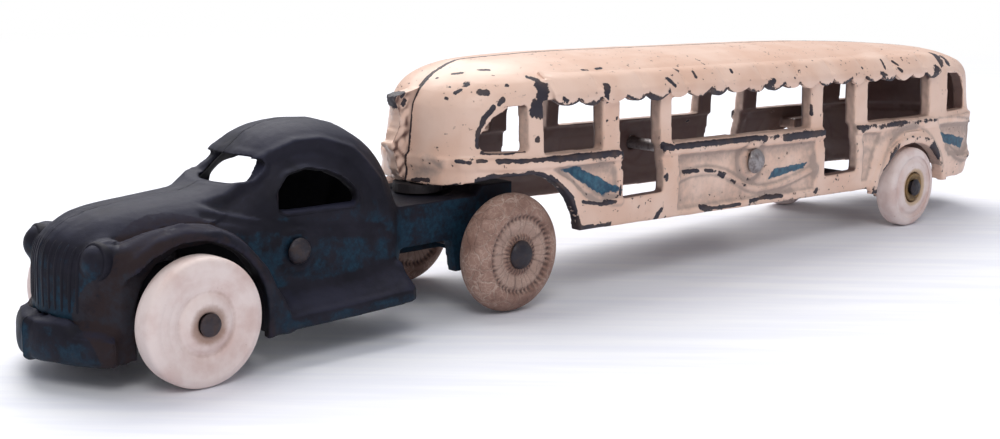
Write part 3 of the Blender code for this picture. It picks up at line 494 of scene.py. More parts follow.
def makeIron(name, colours):
    # dark cast iron, rubbed brighter on its edges and painted paler on its tops as a painted sheen, with rust
    # and what is left of blue paint
    material, shader, place = startFinish(name)
    broad = place.noise(11.0, 4.0, 0.6)
    grain = place.noise(0.9, 4.0, 0.7)
    patch = place.noise(4.5, 6.0, 0.7)
    base = broad.ramp(0.35, 0.7).blend(colours["iron"], colours["grey"])
    blueMask = (field(place, "blue") + (patch - 0.5) * 1.5).ramp(0.36, 0.70)
    base = (blueMask * 0.8).blend(base, grain.ramp(0.3, 0.75).blend(colours["blue"], colours["paleBlue"]))
    rustMask = (field(place, "rust") + (patch - 0.5) * 1.6 + (grain - 0.5) * 0.4).ramp(0.42, 0.75)
    base = (rustMask * 0.6).blend(base, colours["rust"])
    # the bare field holds rubbed edges and the painted sheen on tops
    wornAndSheenMask = (field(place, "bare") + (broad - 0.5) * 0.8 + (grain - 0.5) * 0.4).ramp(0.35, 0.85)
    base = (wornAndSheenMask * 0.75).blend(base, colours["worn"])
    base = field(place, "inside").blend(base, colours["dark"])
    rough = colours["gloss"] + rustMask * 0.25 + grain * 0.16 - wornAndSheenMask * 0.06
    height = grain * 0.16 + patch * 0.22 + broad * 0.15
    plug(shader, Base_Color=base, Roughness=rough, Normal=height.bump(0.26))
    shader.inputs["Metallic"].default_value = 0.15
    shader.inputs["Specular IOR Level"].default_value = 0.18
    return material


whiteRubber = {"white": (0.80, 0.675, 0.640), "warm": (0.66, 0.49, 0.45), "stain": (0.30, 0.17, 0.12),
               "yellow": (0.52, 0.35, 0.19), "gloss": 0.52}


def makeWhiteRubber(name, colours, ring):
    # old white rubber, chalky, with faint rings, a stain that creeps out from the axle and on the front tyres
    # a painted shade ring round the hub
    material, shader, place = startFinish(name)
    broad = place.noise(6.0, 4.0)
    fine = place.noise(0.8, 4.0, 0.7)
    base = broad.ramp(0.35, 0.72).blend(colours["white"], colours["warm"])
    base = (fine.ramp(0.58, 0.85) * 0.4).blend(base, colours["warm"])
    # the hub field holds the axle stain and, on the front tyres, a painted shade ring
    stain = field(place, "hub") + (broad - 0.5) * 0.7 + (fine - 0.5) * 0.3
    base = (stain.ramp(0.35, 1.0) * 0.8).blend(base, colours[ring])
    speck = place.noise(1.3, 2.0).ramp(0.72, 0.78)
    base = (speck * 0.35).blend(base, colours["stain"])
    rough = colours["gloss"] + fine * 0.2
    height = fine * 0.3 + broad * 0.4 + field(place, "turning") * 0.35
    plug(shader, Base_Color=base, Roughness=rough, Normal=height.bump(0.16))
    return material


oldRubber = {"brown": (0.215, 0.115, 0.086), "light": (0.34, 0.205, 0.160), "pale": (0.56, 0.40, 0.33),
             "dark": (0.055, 0.030, 0.028), "gloss": 0.58, "bend": 700.0, "bent": 0.0016}


def makeOldRubber(name, colours):
    # brown rubber gone hard, with a pale net of cracks and dark marks along the side wall's ribs
    material, shader, place = startFinish(name)
    broad = place.noise(5.0, 4.0)
    fine = place.noise(0.9, 5.0, 0.7)
    waves = place.node("TexNoise", {}, {"Vector": place, "Scale": colours["bend"], "Detail": 3.0}, "Color")
    moved = waves.node("VectorMath", {"operation": "SCALE"}, {0: waves, "Scale": colours["bent"]})
    bent = place.node("VectorMath", {"operation": "ADD"}, {0: place, 1: moved})
    web = bent.cracks(3.0)
    small = bent.cracks(1.3)
    base = (broad + fine * 0.6).ramp(0.55, 1.0).blend(colours["brown"], colours["light"])
    pale = (1.0 - web.ramp(0.01, 0.06)).most((1.0 - small.ramp(0.01, 0.08)) * 0.6)
    base = (pale * broad.ramp(0.34, 0.60) * 0.75).blend(base, colours["pale"])
    base = (field(place, "hub") * 0.42).blend(base, colours["pale"])
    base = (field(place, "marks") * (0.55 + fine.ramp(0.35, 0.6) * 0.4)).blend(base, colours["dark"])
    rough = colours["gloss"] + fine * 0.2
    height = fine * 0.4 + broad * 0.3 - (1.0 - web.ramp(0.0, 0.06)) * 0.6
    plug(shader, Base_Color=base, Roughness=rough, Normal=height.bump(0.22))
    return material


def makeSteel(name, base, rust, metallic, rough):
    # a headed iron rod, dull and pitted, with rust in its pits
    material, shader, place = startFinish(name)
    broad = place.noise(1.8, 4.0, 0.6)
    grain = place.noise(0.5, 4.0, 0.7)
    mask = (broad + (grain - 0.5) * 0.5).ramp(0.45, 0.70)
    plug(shader, Base_Color=mask.blend(base, rust), Roughness=rough + mask * 0.25,
         Metallic=metallic * (1.0 - mask), Normal=(grain * 0.5 + broad).bump(0.12))
    return material


finishes = {
    "cream": makeCream("creamEnamel", creamPaint),
    "iron": makeIron("blueBlackIron", blueIron),
    "frontRubber": makeWhiteRubber("whiteRubberFront", whiteRubber, "stain"),
    "trailerRubber": makeWhiteRubber("whiteRubberTrailer", whiteRubber, "yellow"),
    "oldRubber": makeOldRubber("crazedRubber", oldRubber),
    "rod": makeSteel("rodIron", (0.044, 0.035, 0.041), (0.050, 0.028, 0.025), 0.5, 0.45),
    "darkRod": makeSteel("darkRodIron", (0.026, 0.022, 0.030), (0.036, 0.022, 0.022), 0.4, 0.44),
    "rivet": makeSteel("rivetIron", (0.34, 0.31, 0.31), (0.15, 0.12, 0.12), 0.75, 0.36),
    "pin": makeSteel("pinIron", (0.030, 0.024, 0.027), (0.026, 0.018, 0.018), 0.2, 0.60),
    "brass": makeSteel("brassBush", (0.27, 0.165, 0.065), (0.16, 0.10, 0.055), 0.4, 0.52),
}
print("finishes made")


# the tractor's two halves

tractor = {
    "cell": 0.38, "rounds": 3, "soft": 5, "fairing": 40, "roughness": 0.035, "grain": 0.012,
    "recess": (1.15, [(-116.6, 29.4), (-110.7, 29.8), (-106.0, 32.8), (-100.9, 36.6), (-95.3, 38.2),
                      (-89.6, 38.2), (-83.0, 35.6), (-78.6, 29.6), (-76.8, 21.0), (-90.0, 23.0),
                      (-103.0, 25.2)]),
    "lines": {
        "drip": (0.40, 0.65, [(-116.0, 30.2), (-110.9, 30.6), (-106.4, 33.6), (-101.1, 37.3),
                              (-95.3, 38.9), (-89.4, 38.9), (-82.6, 36.4), (-78.0, 30.2)]),
        "belt": (-0.50, 0.6, [(-116.0, 27.2), (-103.0, 24.6), (-90.0, 22.3), (-76.0, 20.0)]),
        "windowRim": (0.50, 0.7, [(-102.4, 26.4), (-102.4, 30.4), (-99.2, 33.6), (-94.4, 34.4),
                                  (-88.0, 32.4), (-84.0, 29.0), (-83.5, 26.2)]),
        "doorFront": (-0.35, 0.5, [(-106.8, 23.6), (-106.0, 17.0), (-104.0, 11.5)])},
    "rivet": (-99.4, 19.7), "boss": 0.45, "axle": (-123.4, 11.5), "lip": 0.30, "shoulder": 0.45,
    "bumperLift": 1.5, "pivot": -57.7, "hole": 2.85, "deckDrop": 0.15, "crownDrop": 1.3,
}


def shapeTractor(mesh, side, spec):
    # skin faired over the CAD's facets and moved along its normals: recess under the roof's edge, drip
    # moulding over it, belt crease, window rim, door's front line, rivet boss, arch lip and casting lumps
    place, normal, ends = meshArrays(mesh)
    normal = softNormals(normal, ends, spec["soft"])
    x, y, z = place.T
    flat = place[:, [0, 2]]
    facing = step(normal[:, 1] * side, 0.10, 0.40) * step(y * side, 7.0, 10.0)
    cab = facing * step(x, -119.0, -116.0) * (1.0 - step(x, -73.5, -70.5))
    shift, whole = fairing(place, normal, ends, spec["fairing"])
    bumper = (1.0 - step(z, 11.6, 12.6)) * (1.0 - step(x, -136.0, -133.0))
    shift += bumper * (whole - shift)
    depth, outline = spec["recess"]
    move = -depth * cab * sunk(flat, outline, 0.9)
    for height, width, line in spec["lines"].values():
        move += height * cab * ridge(lineDistance(flat, line), width)
    around = spotDistance(flat, spec["rivet"])
    move += spec["boss"] * cab * (ridge(around - 3.6, 0.8) - 0.5 * ridge(around - 5.0, 0.7))
    arch = spotDistance(flat, spec["axle"])
    outer = facing * step(y * side, 15.0, 17.5) * (1.0 - step(x, -107.0, -104.0))
    move += spec["lip"] * outer * (1.0 - step(arch, 15.6, 16.6))
    move -= 0.18 * outer * ridge(arch - 17.0, 0.8)
    move = shift + evened(move, ends, 2)
    move += spec["roughness"] * lumps(place, 7.0, 3) + spec["grain"] * lumps(place, 2.4, 4)
    along = step(x, -138.0, -133.0) * (1.0 - step(x, -116.0, -110.0))
    hood = along * step(normal[:, 2], 0.1, 0.6) * step(z, 22.0, 25.0) * (y * side < 11.5)
    move += spec["shoulder"] * hood
    keep = np.clip(y * side / 1.2, 0.0, 1.0)
    place = place + normal * (move * keep)[:, None]
    top = step(place[:, 2], 8.8, 10.2) * (1.0 - step(place[:, 2], 11.0, 11.4)) * (place[:, 0] < -136.0)
    place[:, 2] += spec["bumperLift"] * top * (1.0 - step(np.abs(place[:, 1]), 7.0, 10.0))
    # the hole for the king pin stays round and free, and the deck keeps clear of the pin's collar
    out = place[:, :2] - np.array([spec["pivot"], 0.0])
    far = np.maximum(np.linalg.norm(out, axis=1), 0.1)
    place[:, :2] += out * np.maximum(spec["hole"] / far - 1.0, 0.0)[:, None]
    place[:, 2] -= spec["deckDrop"] * (far < 7.0) * (place[:, 2] > 22.5)
    if side > 0:
        # the right fender's crown came out of the mould a little lower
        crown = along * step(place[:, 1], 11.0, 13.0) * step(place[:, 2], 21.0, 25.0)
        place[:, 2] -= spec["crownDrop"] * crown
    setPlaces(mesh, place)


def wearTractor(mesh, side, spec):
    # bare edges, tops painted paler as a painted sheen (faint on the deck, left darker as painted shade under
    # the trailer's nose), blue paint low down and in hollows, rust on edges, by the ground and in the wells
    place, normal, ends = meshArrays(mesh)
    x, y, z = place.T
    sharp = sharpness(place, normal, ends, 4)
    broadSharp = spread(sharp, ends, 22)
    lit = normal[:, 2]
    truck = x < -71.0
    outward = np.stack([(x + 105.0) * 0.25, y, z - 12.0], axis=1)
    inner = step(-(normal * outward).sum(axis=1), 0.0, 2.5) * truck
    arch = np.hypot(x - spec["axle"][0], z - spec["axle"][1])
    well = (x < -104.0) * (1.0 - step(y * side, 17.5, 19.5)) * (arch < 17.0)
    edges = np.clip(sharp * 12.0, -0.4, 0.9)
    # painted sheen: tops facing up take the paler worn colour, only faintly on the deck in the trailer's
    # shade, over real edge wear
    bare = edges + step(lit, 0.25, 0.95) * np.where(truck, 0.72, 0.10)
    low = 1.0 - step(z, 20.0, 31.0)
    hollow = np.clip(-broadSharp * 16.0, 0.0, 0.5)
    blue = 0.14 + 0.38 * low * (1.0 - step(lit, 0.0, 0.6)) + hollow + 0.10 * (x > -70.0)
    blue -= 0.10 * step(lit, 0.5, 0.9)
    rim = ridge(arch - 14.6, 1.2) * (x < -106.0)
    rust = 0.16 + np.clip(sharp * 7.0, 0.0, 0.34) + 0.22 * (1.0 - step(z, 4.0, 12.0))
    rust += 0.5 * well + 0.25 * rim
    setFields(mesh, bare=bare, blue=blue, rust=rust, inside=inner * (1.0 - 0.6 * well))


tractorTrees = {}
for side, label in sides:
    name, node = "tractorCasting_" + label, "tractor_%s_half" % label
    skin = castingSkin(name, node, side, tractor["cell"], tractor["rounds"])
    shapeTractor(skin, side, tractor)
    wearTractor(skin, side, tractor)
    tractorTrees[side] = surfaceTree(skin)
    casting = pieceFromMesh(name, skin, finishes["iron"], "tractor")
    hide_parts("tractor_%s_half" % label)
    print("tractor", label, "half,", len(skin.polygons), "faces")


def tube(name, lines, half, steps=10):
    # a round bead carried along each line, thinner towards its two ends
    meshes = []
    for line in lines:
        line = rounded(line, 2, closed=False)
        ahead = np.gradient(line, axis=0)
        ahead /= np.linalg.norm(ahead, axis=1)[:, None]
        across = np.cross(ahead, (0.05, 0.02, 1.0) if abs(ahead[:, 2]).mean() < 0.8 else (0.0, 1.0, 0.02))
        across /= np.linalg.norm(across, axis=1)[:, None]
        third = np.cross(ahead, across)
        along = np.linspace(0.0, 1.0, len(line))
        size = half * np.sqrt(np.clip(1.0 - (2.0 * along - 1.0) ** 12, 0.0, 1.0))
        turn = np.linspace(0.0, 2.0 * math.pi, steps, endpoint=False)
        ring = np.cos(turn)[None, :, None] * across[:, None] + np.sin(turn)[None, :, None] * third[:, None]
        points = line[:, None] + ring * size[:, None, None]
        meshes.append(tidyMesh(gridMesh(name, points, closeColumns=True)))
    whole = bmesh.new()
    for mesh in meshes:
        whole.from_mesh(mesh)
        bpy.data.meshes.remove(mesh)
    mesh = bpy.data.meshes.new(name)
    whole.to_mesh(mesh)
    whole.free()
    return mesh


def onSkin(tree, start, way, sink):
    # where a straight line meets the skin, moved in by a small depth
    hit, _, _, _ = tree.ray_cast(Vector(start) * mm, Vector(way))
    return np.array(hit) / mm + np.array(way) * sink if hit else None


grille = {"low": 12.7, "high": 25.6, "count": 6, "pitch": 1.45, "first": 0.9, "half": 0.42, "sink": 0.26,
          "back": -134.0}


def makeGrille(spec):
    # upright bars down both halves of the rounded nose, each following the casting behind it
    lines = []
    for side, _ in sides:
        for number in range(spec["count"]):
            y = side * (spec["first"] + spec["pitch"] * number)
            top = spec["high"] - 0.10 * number ** 1.6
            heights = np.linspace(spec["low"], top, 14)
            tree = tractorTrees[side]
            spots = [onSkin(tree, (-160.0, y, z), (1.0, 0.0, 0.0), spec["sink"]) for z in heights]
            lines.append(np.array([spot for spot in spots if spot is not None and spot[0] < spec["back"]]))
    mesh = tube("grilleBars", [line for line in lines if len(line) > 4], spec["half"])
    setFields(mesh, bare=0.10, blue=0.30, rust=0.15, inside=0.0)
    bars = pieceFromMesh("grilleBars", mesh, finishes["iron"], "tractor")


makeGrille(grille)


def spunMesh(name, profile, centre, axis, steps, ripple=None, poles=False):
    # a profile of (radius, distance along the axis) carried round the axis through the centre
    profile = np.asarray(profile, float)
    turn = np.linspace(0.0, 2.0 * math.pi, steps, endpoint=False)
    radius = np.repeat(profile[:, :1], steps, axis=1)
    along = np.repeat(profile[:, 1:], steps, axis=1)
    if ripple is not None:
        radius, along = ripple(radius, along, turn[None, :])
    axis = np.asarray(axis, float) / np.linalg.norm(axis)
    first = np.cross(axis, (0.0, 0.0, 1.0))
    first /= np.linalg.norm(first)
    second = np.cross(axis, first)
    ring = np.cos(turn)[None, :, None] * first + np.sin(turn)[None, :, None] * second
    points = np.asarray(centre, float) + along[..., None] * axis + radius[..., None] * ring
    return tidyMesh(gridMesh(name, points, closeRows=not poles, closeColumns=True))


lamp = {"centre": (-136.4, 10.4, 22.0), "axis": (-0.95, 0.14, 0.12), "reach": 0.9,
        "profile": [(0.0, 1.25), (1.2, 1.15), (2.1, 0.75), (2.45, 0.35), (2.7, 0.55), (3.15, 0.70),
                    (3.5, 0.35), (3.6, -0.6), (3.3, -2.6), (2.2, -4.2), (0.0, -4.8)]}


def makeLamps(spec):
    # a domed lens in a raised rim, on a round shell sunk in the fender
    for side, label in sides:
        centre = np.array(spec["centre"]) * (1.0, side, 1.0)
        axis = np.array(spec["axis"]) * (1.0, side, 1.0)
        profile = rounded(spec["profile"], 3, closed=False)
        profile[:, 1] += spec["reach"]
        mesh = spunMesh("headLamp_" + label, profile, centre, axis, 48, poles=True)
        place, normal, ends = meshArrays(mesh)
        sharp = sharpness(place, normal, ends, 1)
        setFields(mesh, bare=np.clip(sharp * 8.0, -0.3, 0.5), blue=0.20, rust=0.25, inside=0.0)
        shell = pieceFromMesh("headLamp_" + label, mesh, finishes["iron"], "tractor")


makeLamps(lamp)
print("grille and lamps made")


# the trailer's two halves, with the awning's skin over them

sillHeight, sillFall = 31.1, 0.022
eaveHeight, eaveFall = 41.4, 0.0165

trailer = {
    "cell": 0.38, "rounds": 3, "soft": 3, "fairing": 40, "cuts": [-2.0, 66.0], "wheel": (98.7, 10.6),
    "lip": 0.75, "boss": (29.5, 24.4), "bossHeight": 0.9, "bossGroove": 0.35, "seam": (0.5, 0.1),
    "strip": 0.40, "hem": 0.62,
    "panels": [
        ([(-37.5, 29.0), (-19.2, 28.6), (-18.6, 21.6), (-24.0, 20.8), (-28.6, 22.6), (-33.0, 26.6)], 1.1),
        ([(2.6, 28.0), (54.6, 26.6), (54.6, 15.0), (2.4, 16.0)], 1.1),
        ([(76.4, 26.8), (84.0, 26.2), (80.5, 21.6), (78.4, 14.6), (76.2, 14.6)], 0.8),
        ([(113.5, 25.8), (138.0, 24.8), (139.5, 18.6), (128.0, 17.0), (118.5, 17.8), (117.0, 22.0)], 0.7)],
    "beads": [
        (0.62, 0.75, [(2.4, 22.8), (6.0, 23.6), (10.5, 23.8), (15.4, 23.4), (19.7, 22.3), (24.0, 20.2),
                      (28.6, 18.0), (33.6, 16.8), (39.5, 17.0), (45.6, 17.9), (54.8, 19.8)]),
        (0.55, 0.8, [(-34.1, 28.5), (-30.0, 25.4), (-26.3, 22.4), (-21.1, 20.4), (-17.6, 20.2)]),
        (0.50, 0.8, [(113.0, 27.2), (122.0, 27.0), (131.0, 25.6), (139.0, 24.6)]),
        (0.60, 0.9, [(117.4, 20.0), (124.0, 16.4), (131.0, 15.2), (140.0, 15.6)])],
    "teal": [[(-35.2, 28.7), (-30.6, 29.2), (-16.6, 22.6), (-22.6, 21.8)],
             [(36.4, 18.9), (38.8, 21.4), (52.9, 21.7), (51.0, 20.4)],
             [(113.6, 24.3), (131.2, 20.6), (128.2, 18.3), (115.1, 21.2)]],
    "farChips": [(-33.0, 30.0), (-10.0, 29.2), (20.0, 29.8), (50.0, 28.4), (88.0, 28.2)],
}

# places of bare iron on the near side: half width in pixels and the pixels of the photograph
paintLost = [
    (3.4, [(527, 77), (537, 80)]), (6.6, [(541, 86), (543, 100), (540, 113)]),
    (4.0, [(535, 102), (533, 113)]), (1.8, [(544.5, 116), (544.5, 141)]), (3.2, [(537, 140), (545, 142)]),
    (2.6, [(503, 99), (499, 104)]), (2.4, [(494, 107), (484, 119), (478, 132), (477, 147)]),
    (1.8, [(482, 153), (505, 154), (524, 152)]),
    (4.4, [(467, 84)]), (3.4, [(479, 92), (486, 92)]), (3.0, [(507, 85)]), (1.6, [(452, 74), (462, 73)]),
    (1.6, [(478, 70), (489, 70)]), (1.9, [(450, 87)]), (1.2, [(455, 93), (461, 90)]), (1.0, [(437, 78)]),
    (1.0, [(446, 98)]), (3.3, [(607, 86), (607, 92)]), (1.2, [(607, 96), (608, 102)]), (1.3, [(607, 121)]),
    (1.2, [(617, 118)]), (2.4, [(498, 161), (520, 161), (545, 159), (570, 157), (600, 154), (619, 152)]),
    (1.8, [(456, 161), (470, 163)]), (1.6, [(478, 161), (486, 161)]),
    (2.3, [(436, 187), (471, 184), (501, 178), (523, 176), (538, 176), (551, 179), (560, 186), (567, 194)]),
    (1.4, [(565, 190), (573, 198)]), (1.6, [(564, 197), (567, 211), (570, 223)]),
    (2.6, [(572, 226), (578, 227)]), (1.2, [(578, 227), (592, 226)]),
    (0.9, [(583, 202), (600, 204), (616, 202)]), (1.4, [(622, 150), (622, 168)]),
    (1.4, [(621, 186), (620, 194)]), (3.0, [(665, 145), (672, 147)]),
    (2.0, [(678, 146), (700, 143), (720, 141), (745, 139), (757, 137)]), (2.5, [(766, 138)]),
    (2.2, [(785, 139), (800, 136), (825, 133)]), (2.0, [(667, 175), (667, 179)]),
    (1.0, [(683, 172), (698, 170)]), (1.0, [(705, 170), (712, 171)]), (1.1, [(719, 174), (723, 177)]),
    (1.1, [(731, 180), (735, 183)]), (3.0, [(701, 207), (706, 208)]),
    (1.3, [(706, 208), (725, 207), (740, 204)]), (1.8, [(750, 201), (765, 197)]),
    (2.3, [(765, 197), (782, 196)]), (2.8, [(816, 191), (819, 196)]), (2.8, [(661, 210), (656, 218)]),
    (1.5, [(665, 217), (676, 218)]), (2.8, [(668, 79), (675, 85)]), (1.1, [(674, 69), (678, 71)]),
    (1.3, [(693, 72), (696, 77)]), (1.4, [(731, 70), (732, 72)]), (1.6, [(582, 70), (588, 70)]),
    (1.1, [(596, 69), (601, 68)]), (2.0, [(863, 128), (864, 131)]), (1.3, [(863, 142)]),
    (1.8, [(811, 106), (811, 114)]),
    (5.4, [(935, 55), (939, 62), (937, 71)]), (3.4, [(942, 57), (948, 64)]), (1.8, [(862, 68)]),
    (1.6, [(881, 60), (885, 68)]), (1.6, [(892, 61), (898, 65)]), (2.4, [(971, 117), (973, 119)]),
    (2.8, [(401, 153), (404, 160), (401, 170)]), (2.0, [(396, 176), (412, 180), (428, 180)]),
]
dirtSpots = [
    (9.0, [(404, 168), (418, 172), (432, 170)]), (5.0, [(425, 158), (440, 165)]),
    (5.0, [(600, 162), (612, 172)]), (6.0, [(590, 195), (605, 192)]), (7.0, [(810, 158), (815, 172)]),
    (5.0, [(744, 158), (748, 172)]), (8.0, [(850, 142), (868, 150), (852, 160)]),
    (8.0, [(948, 148), (962, 160)]), (5.0, [(760, 192), (790, 188)]),
    (6.0, [(880, 140), (900, 128), (915, 126)]),
]


def sillAt(x):
    return sillHeight - sillFall * x


def eaveAt(x):
    return eaveHeight - eaveFall * x


def shapeTrailer(mesh, side, spec):
    # skin faired and moved along its normals: sunk panels, arch lip, raised beads, rivet boss, casting lumps
    # and the rough nose joint
    place, normal, ends = meshArrays(mesh)
    normal = softNormals(normal, ends, spec["soft"])
    x, y, z = place.T
    flat = place[:, [0, 2]]
    facing = step(normal[:, 1] * side, 0.15, 0.5) * step(y * side, 13.0, 15.5)
    facing *= 1.0 - step(z - sillAt(x), -2.8, -2.2)
    move = np.zeros(len(place))
    for outline, depth in spec["panels"]:
        move -= depth * facing * sunk(flat, outline, 0.9)
    arch = spotDistance(flat, spec["wheel"])
    move += spec["lip"] * facing * ridge(arch - 14.6, 0.9) * step(z, 12.0, 15.0)
    for half, height, line in spec["beads"]:
        move += height * facing * ridge(lineDistance(flat, rounded(line, 2, closed=False)), half)
    around = spotDistance(flat, spec["boss"])
    boss = spec["bossHeight"] * (1.0 - step(around, 3.2, 4.4))
    move += facing * (boss - spec["bossGroove"] * ridge(around - 4.8, 0.7))
    move = evened(move, ends, 2) + fairing(place, normal, ends, spec["fairing"])[0]
    move += 0.03 * lumps(place, 9.0, 5) + 0.012 * lumps(place, 2.6, 6)
    move *= np.clip((y * side - 0.1) / 1.2, 0.0, 1.0)
    if side > 0:
        rough = step(-x, 59.0, 62.0) * (y < 4.0)
        move += rough * (0.22 * lumps(place, 3.0, 7) + 0.12 * lumps(place, 1.6, 8))
    setPlaces(mesh, place + normal * move[:, None])


def hemHeight(x, z, low, nose=-64.0, slots=120):
    # height of the side's lower edge beside each point, from the lowest points in half-millimetre slots
    slot = np.clip(((x - nose) * 2.0).astype(int), 0, slots - 1)
    hem = np.full(slots, 99.0)
    np.minimum.at(hem, slot[low], z[low])
    return np.convolve(hem, np.ones(5) / 5.0, "same")[slot]


def wearTrailer(mesh, side, spec):
    # lost paint on edges, belt, seam and hem, painted shade in corners and round the relief, dirt patches,
    # teal flashes, dark inside
    place, normal, ends = meshArrays(mesh)
    x, y, z = place.T
    flat = place[:, [0, 2]]
    wide = np.abs(y)
    sharp = sharpness(place, normal, ends, 3)
    broadSharp = spread(sharp, ends, 20)
    low = (z < sillAt(x)) & (wide > 14.0)
    bare = np.clip(sharp * 10.0, -0.5, 0.64) + 0.08 * lumps(place, 16.0, 11)
    bare += 0.12 * (1.0 - step(z, 12.5, 16.5))
    tree = surfaceTree(mesh)
    if side < 0:
        bare = np.maximum(bare, strokeField(place, paintLost, tree))
    else:
        for spotX, spotZ in spec["farChips"]:
            away = np.hypot((x - spotX) / 5.0, (z - spotZ) / 1.0)
            bare = np.maximum(bare, (1.0 - away / 2.0) * (y > 15.0))
    strip = ridge(z - sillAt(x) + 0.9, 0.9) * (wide > 17.5) * (x < 112.0)
    bare = bare + spec["strip"] * strip * step(x, -42.0, -34.0)
    seam = spec["seam"][0] - spec["seam"][1] * step(x, -55.0, -20.0)
    roof = (normal[:, 2] > 0.2) | (x < -58.0)
    joint = (1.0 - wide / (2.0 * seam)) * ((side < 0) | (x > -57.0))
    bare = np.maximum(bare, roof * joint)
    beyond = np.where(x < -40.0, x + 40.0, np.maximum(x - 120.0, 0.0))
    outward = np.stack([beyond, y, (z - 30.0) * 1.2], axis=1)
    outward /= np.maximum(np.linalg.norm(outward, axis=1), 1e-6)[:, None]
    within = step(-(normal * outward).sum(axis=1), -0.15, 0.25)
    if side > 0:
        bare = np.maximum(bare, 0.75 * step(-x, 59.5, 61.5) * step(z, 40.0, 43.0))
        bare -= 0.6 * step(-x, 57.0, 59.5) * (1.0 - step(z, 37.0, 41.0))
    panel = sum(sunk(flat, outline, 2.0) for outline, _ in spec["panels"])
    reveal = (1.0 - step(np.abs(normal[:, 1]), 0.3, 0.7)) * (wide > 13.0) * (x > -55.0)
    reveal *= (z < eaveAt(x) + 1.6) * (z > 15.0)
    # painted shade in hollows, then darker inside the sunk panels low down, along the whole lower side and on
    # the window reveals
    grime = np.clip(-broadSharp * 32.0, 0.0, 0.9) + 0.34 * panel * low + 0.12 * low + 0.6 * reveal
    grime += 0.3 * step(-x, 50.0, 62.0) * (1.0 - step(z, 26.0, 33.0))
    grime += 0.35 * step(x, 100.0, 140.0) * low
    if side < 0:
        grime = np.maximum(grime, 0.85 * strokeField(place, dirtSpots, tree))
    teal = np.zeros(len(place))
    for outline in spec["teal"]:
        teal = np.maximum(teal, np.clip(0.5 + depthInside(flat, outline) / 2.4, 0.0, 1.0))
    teal *= (y * side > 14.0) * (1.0 - within)
    # painted shade along the edges of the sunk panels
    for outline, _ in spec["panels"]:
        grime += 0.55 * low * ridge(lineDistance(flat, outline + outline[:1]), 0.5)
    arch = spotDistance(flat, spec["wheel"])
    # painted shade round the outside of the wheel arch's lip
    grime += 0.6 * low * ridge(arch - 16.3, 0.7) * step(z, 12.0, 15.0)
    bare = bare + 0.2 * low * ridge(arch - 13.6, 0.7)
    hem = ridge(z - hemHeight(x, z, low) - 0.3, 0.9) * low * (np.abs(x + 39.0) < 19.0)
    bare = bare + spec["hem"] * hem
    # painted shade beside each bead, and worn paint on its crest
    for half, _, line in spec["beads"]:
        away = lineDistance(flat, rounded(line, 2, closed=False))
        grime += 0.50 * low * ridge(away - half * 1.7, 0.38)
        bare = bare + 0.16 * low * ridge(away, half * 0.6)
    around = spotDistance(flat, spec["boss"])
    # painted shade in the groove round the rivet boss
    grime += 0.6 * low * ridge(around - 4.9, 0.6)
    setFields(mesh, bare=bare - 0.5 * within, grime=grime, teal=teal, inside=within)


awning = {"front": -37.3, "pitch": 7.12, "count": 21, "steps": 18, "rows": 18, "depth": 1.5, "proud": 1.05,
          "rise": 6.9, "fold": 14.24, "slant": 0.12, "thick": 1.3, "sink": 1.1, "puff": 0.42, "crease": 0.30,
          "heights": [0.0, 1.4, 2.6, 3.4, 4.5, 5.6, 6.2, 6.9],
          "narrows": [0.0, 0.05, 0.35, 0.95, 1.85, 2.9, 3.6, 4.5]}
band = {"half": 19.0, "widest": 20.9, "end": 143.8, "tail": 34.0}


def bandAt(x):
    # half width of the window band, rounded at the tail by a power curve
    tail = band["tail"] * (0.35 + 0.65 * band["half"] / band["widest"])
    t = np.clip((x - (band["end"] - tail)) / tail, 0.0, 1.0)
    return band["half"] * (1.0 - t ** 2.5) ** 0.4


def scallop(spec, u):
    # height of the scalloped edge, u scallops from the front
    return spec["depth"] * (1.0 - np.abs(np.sin(math.pi * u)) ** 0.75)


def foldDistance(spec, x, height):
    # distance to the nearest fold between two puffs
    fold = (x - spec["front"] + spec["slant"] * height) / spec["fold"]
    return np.abs(fold - np.round(fold)) * spec["fold"]


def awningSheet(spec, side):
    # from the scalloped edge up over the shoulder, puffed between folds and sunk into the roof at its top
    u = np.arange(spec["count"] * spec["steps"] + 1) / spec["steps"]
    x = spec["front"] + spec["pitch"] * u
    low = scallop(spec, u) - 0.15
    low = low + 0.22 * np.sin(2.3 * u + 0.7) * np.abs(np.sin(math.pi * u))
    t = np.linspace(0.0, 1.0, spec["rows"])[:, None]
    height = low[None, :] + (spec["rise"] - low[None, :]) * t
    opening = step(x, spec["front"] - 0.2, spec["front"] + 2.2)
    narrow = np.interp(height, spec["heights"], spec["narrows"])
    x = np.repeat(x[None, :], spec["rows"], axis=0)
    away = foldDistance(spec, x, height)
    puff = spec["puff"] * (1.0 - ridge(away, 3.0)) - spec["crease"] * ridge(away, 0.9)
    puff = puff * step(height, 0.0, 1.4) * (1.0 - step(height, 5.2, 6.6))
    proud = spec["proud"] * (1.0 - step(height, 5.7, 6.9)) - spec["sink"] * step(height, 6.0, 6.9) + puff
    y = side * (bandAt(x) - narrow + proud * opening)
    return np.stack([x, y, eaveAt(x) + height], axis=-1)


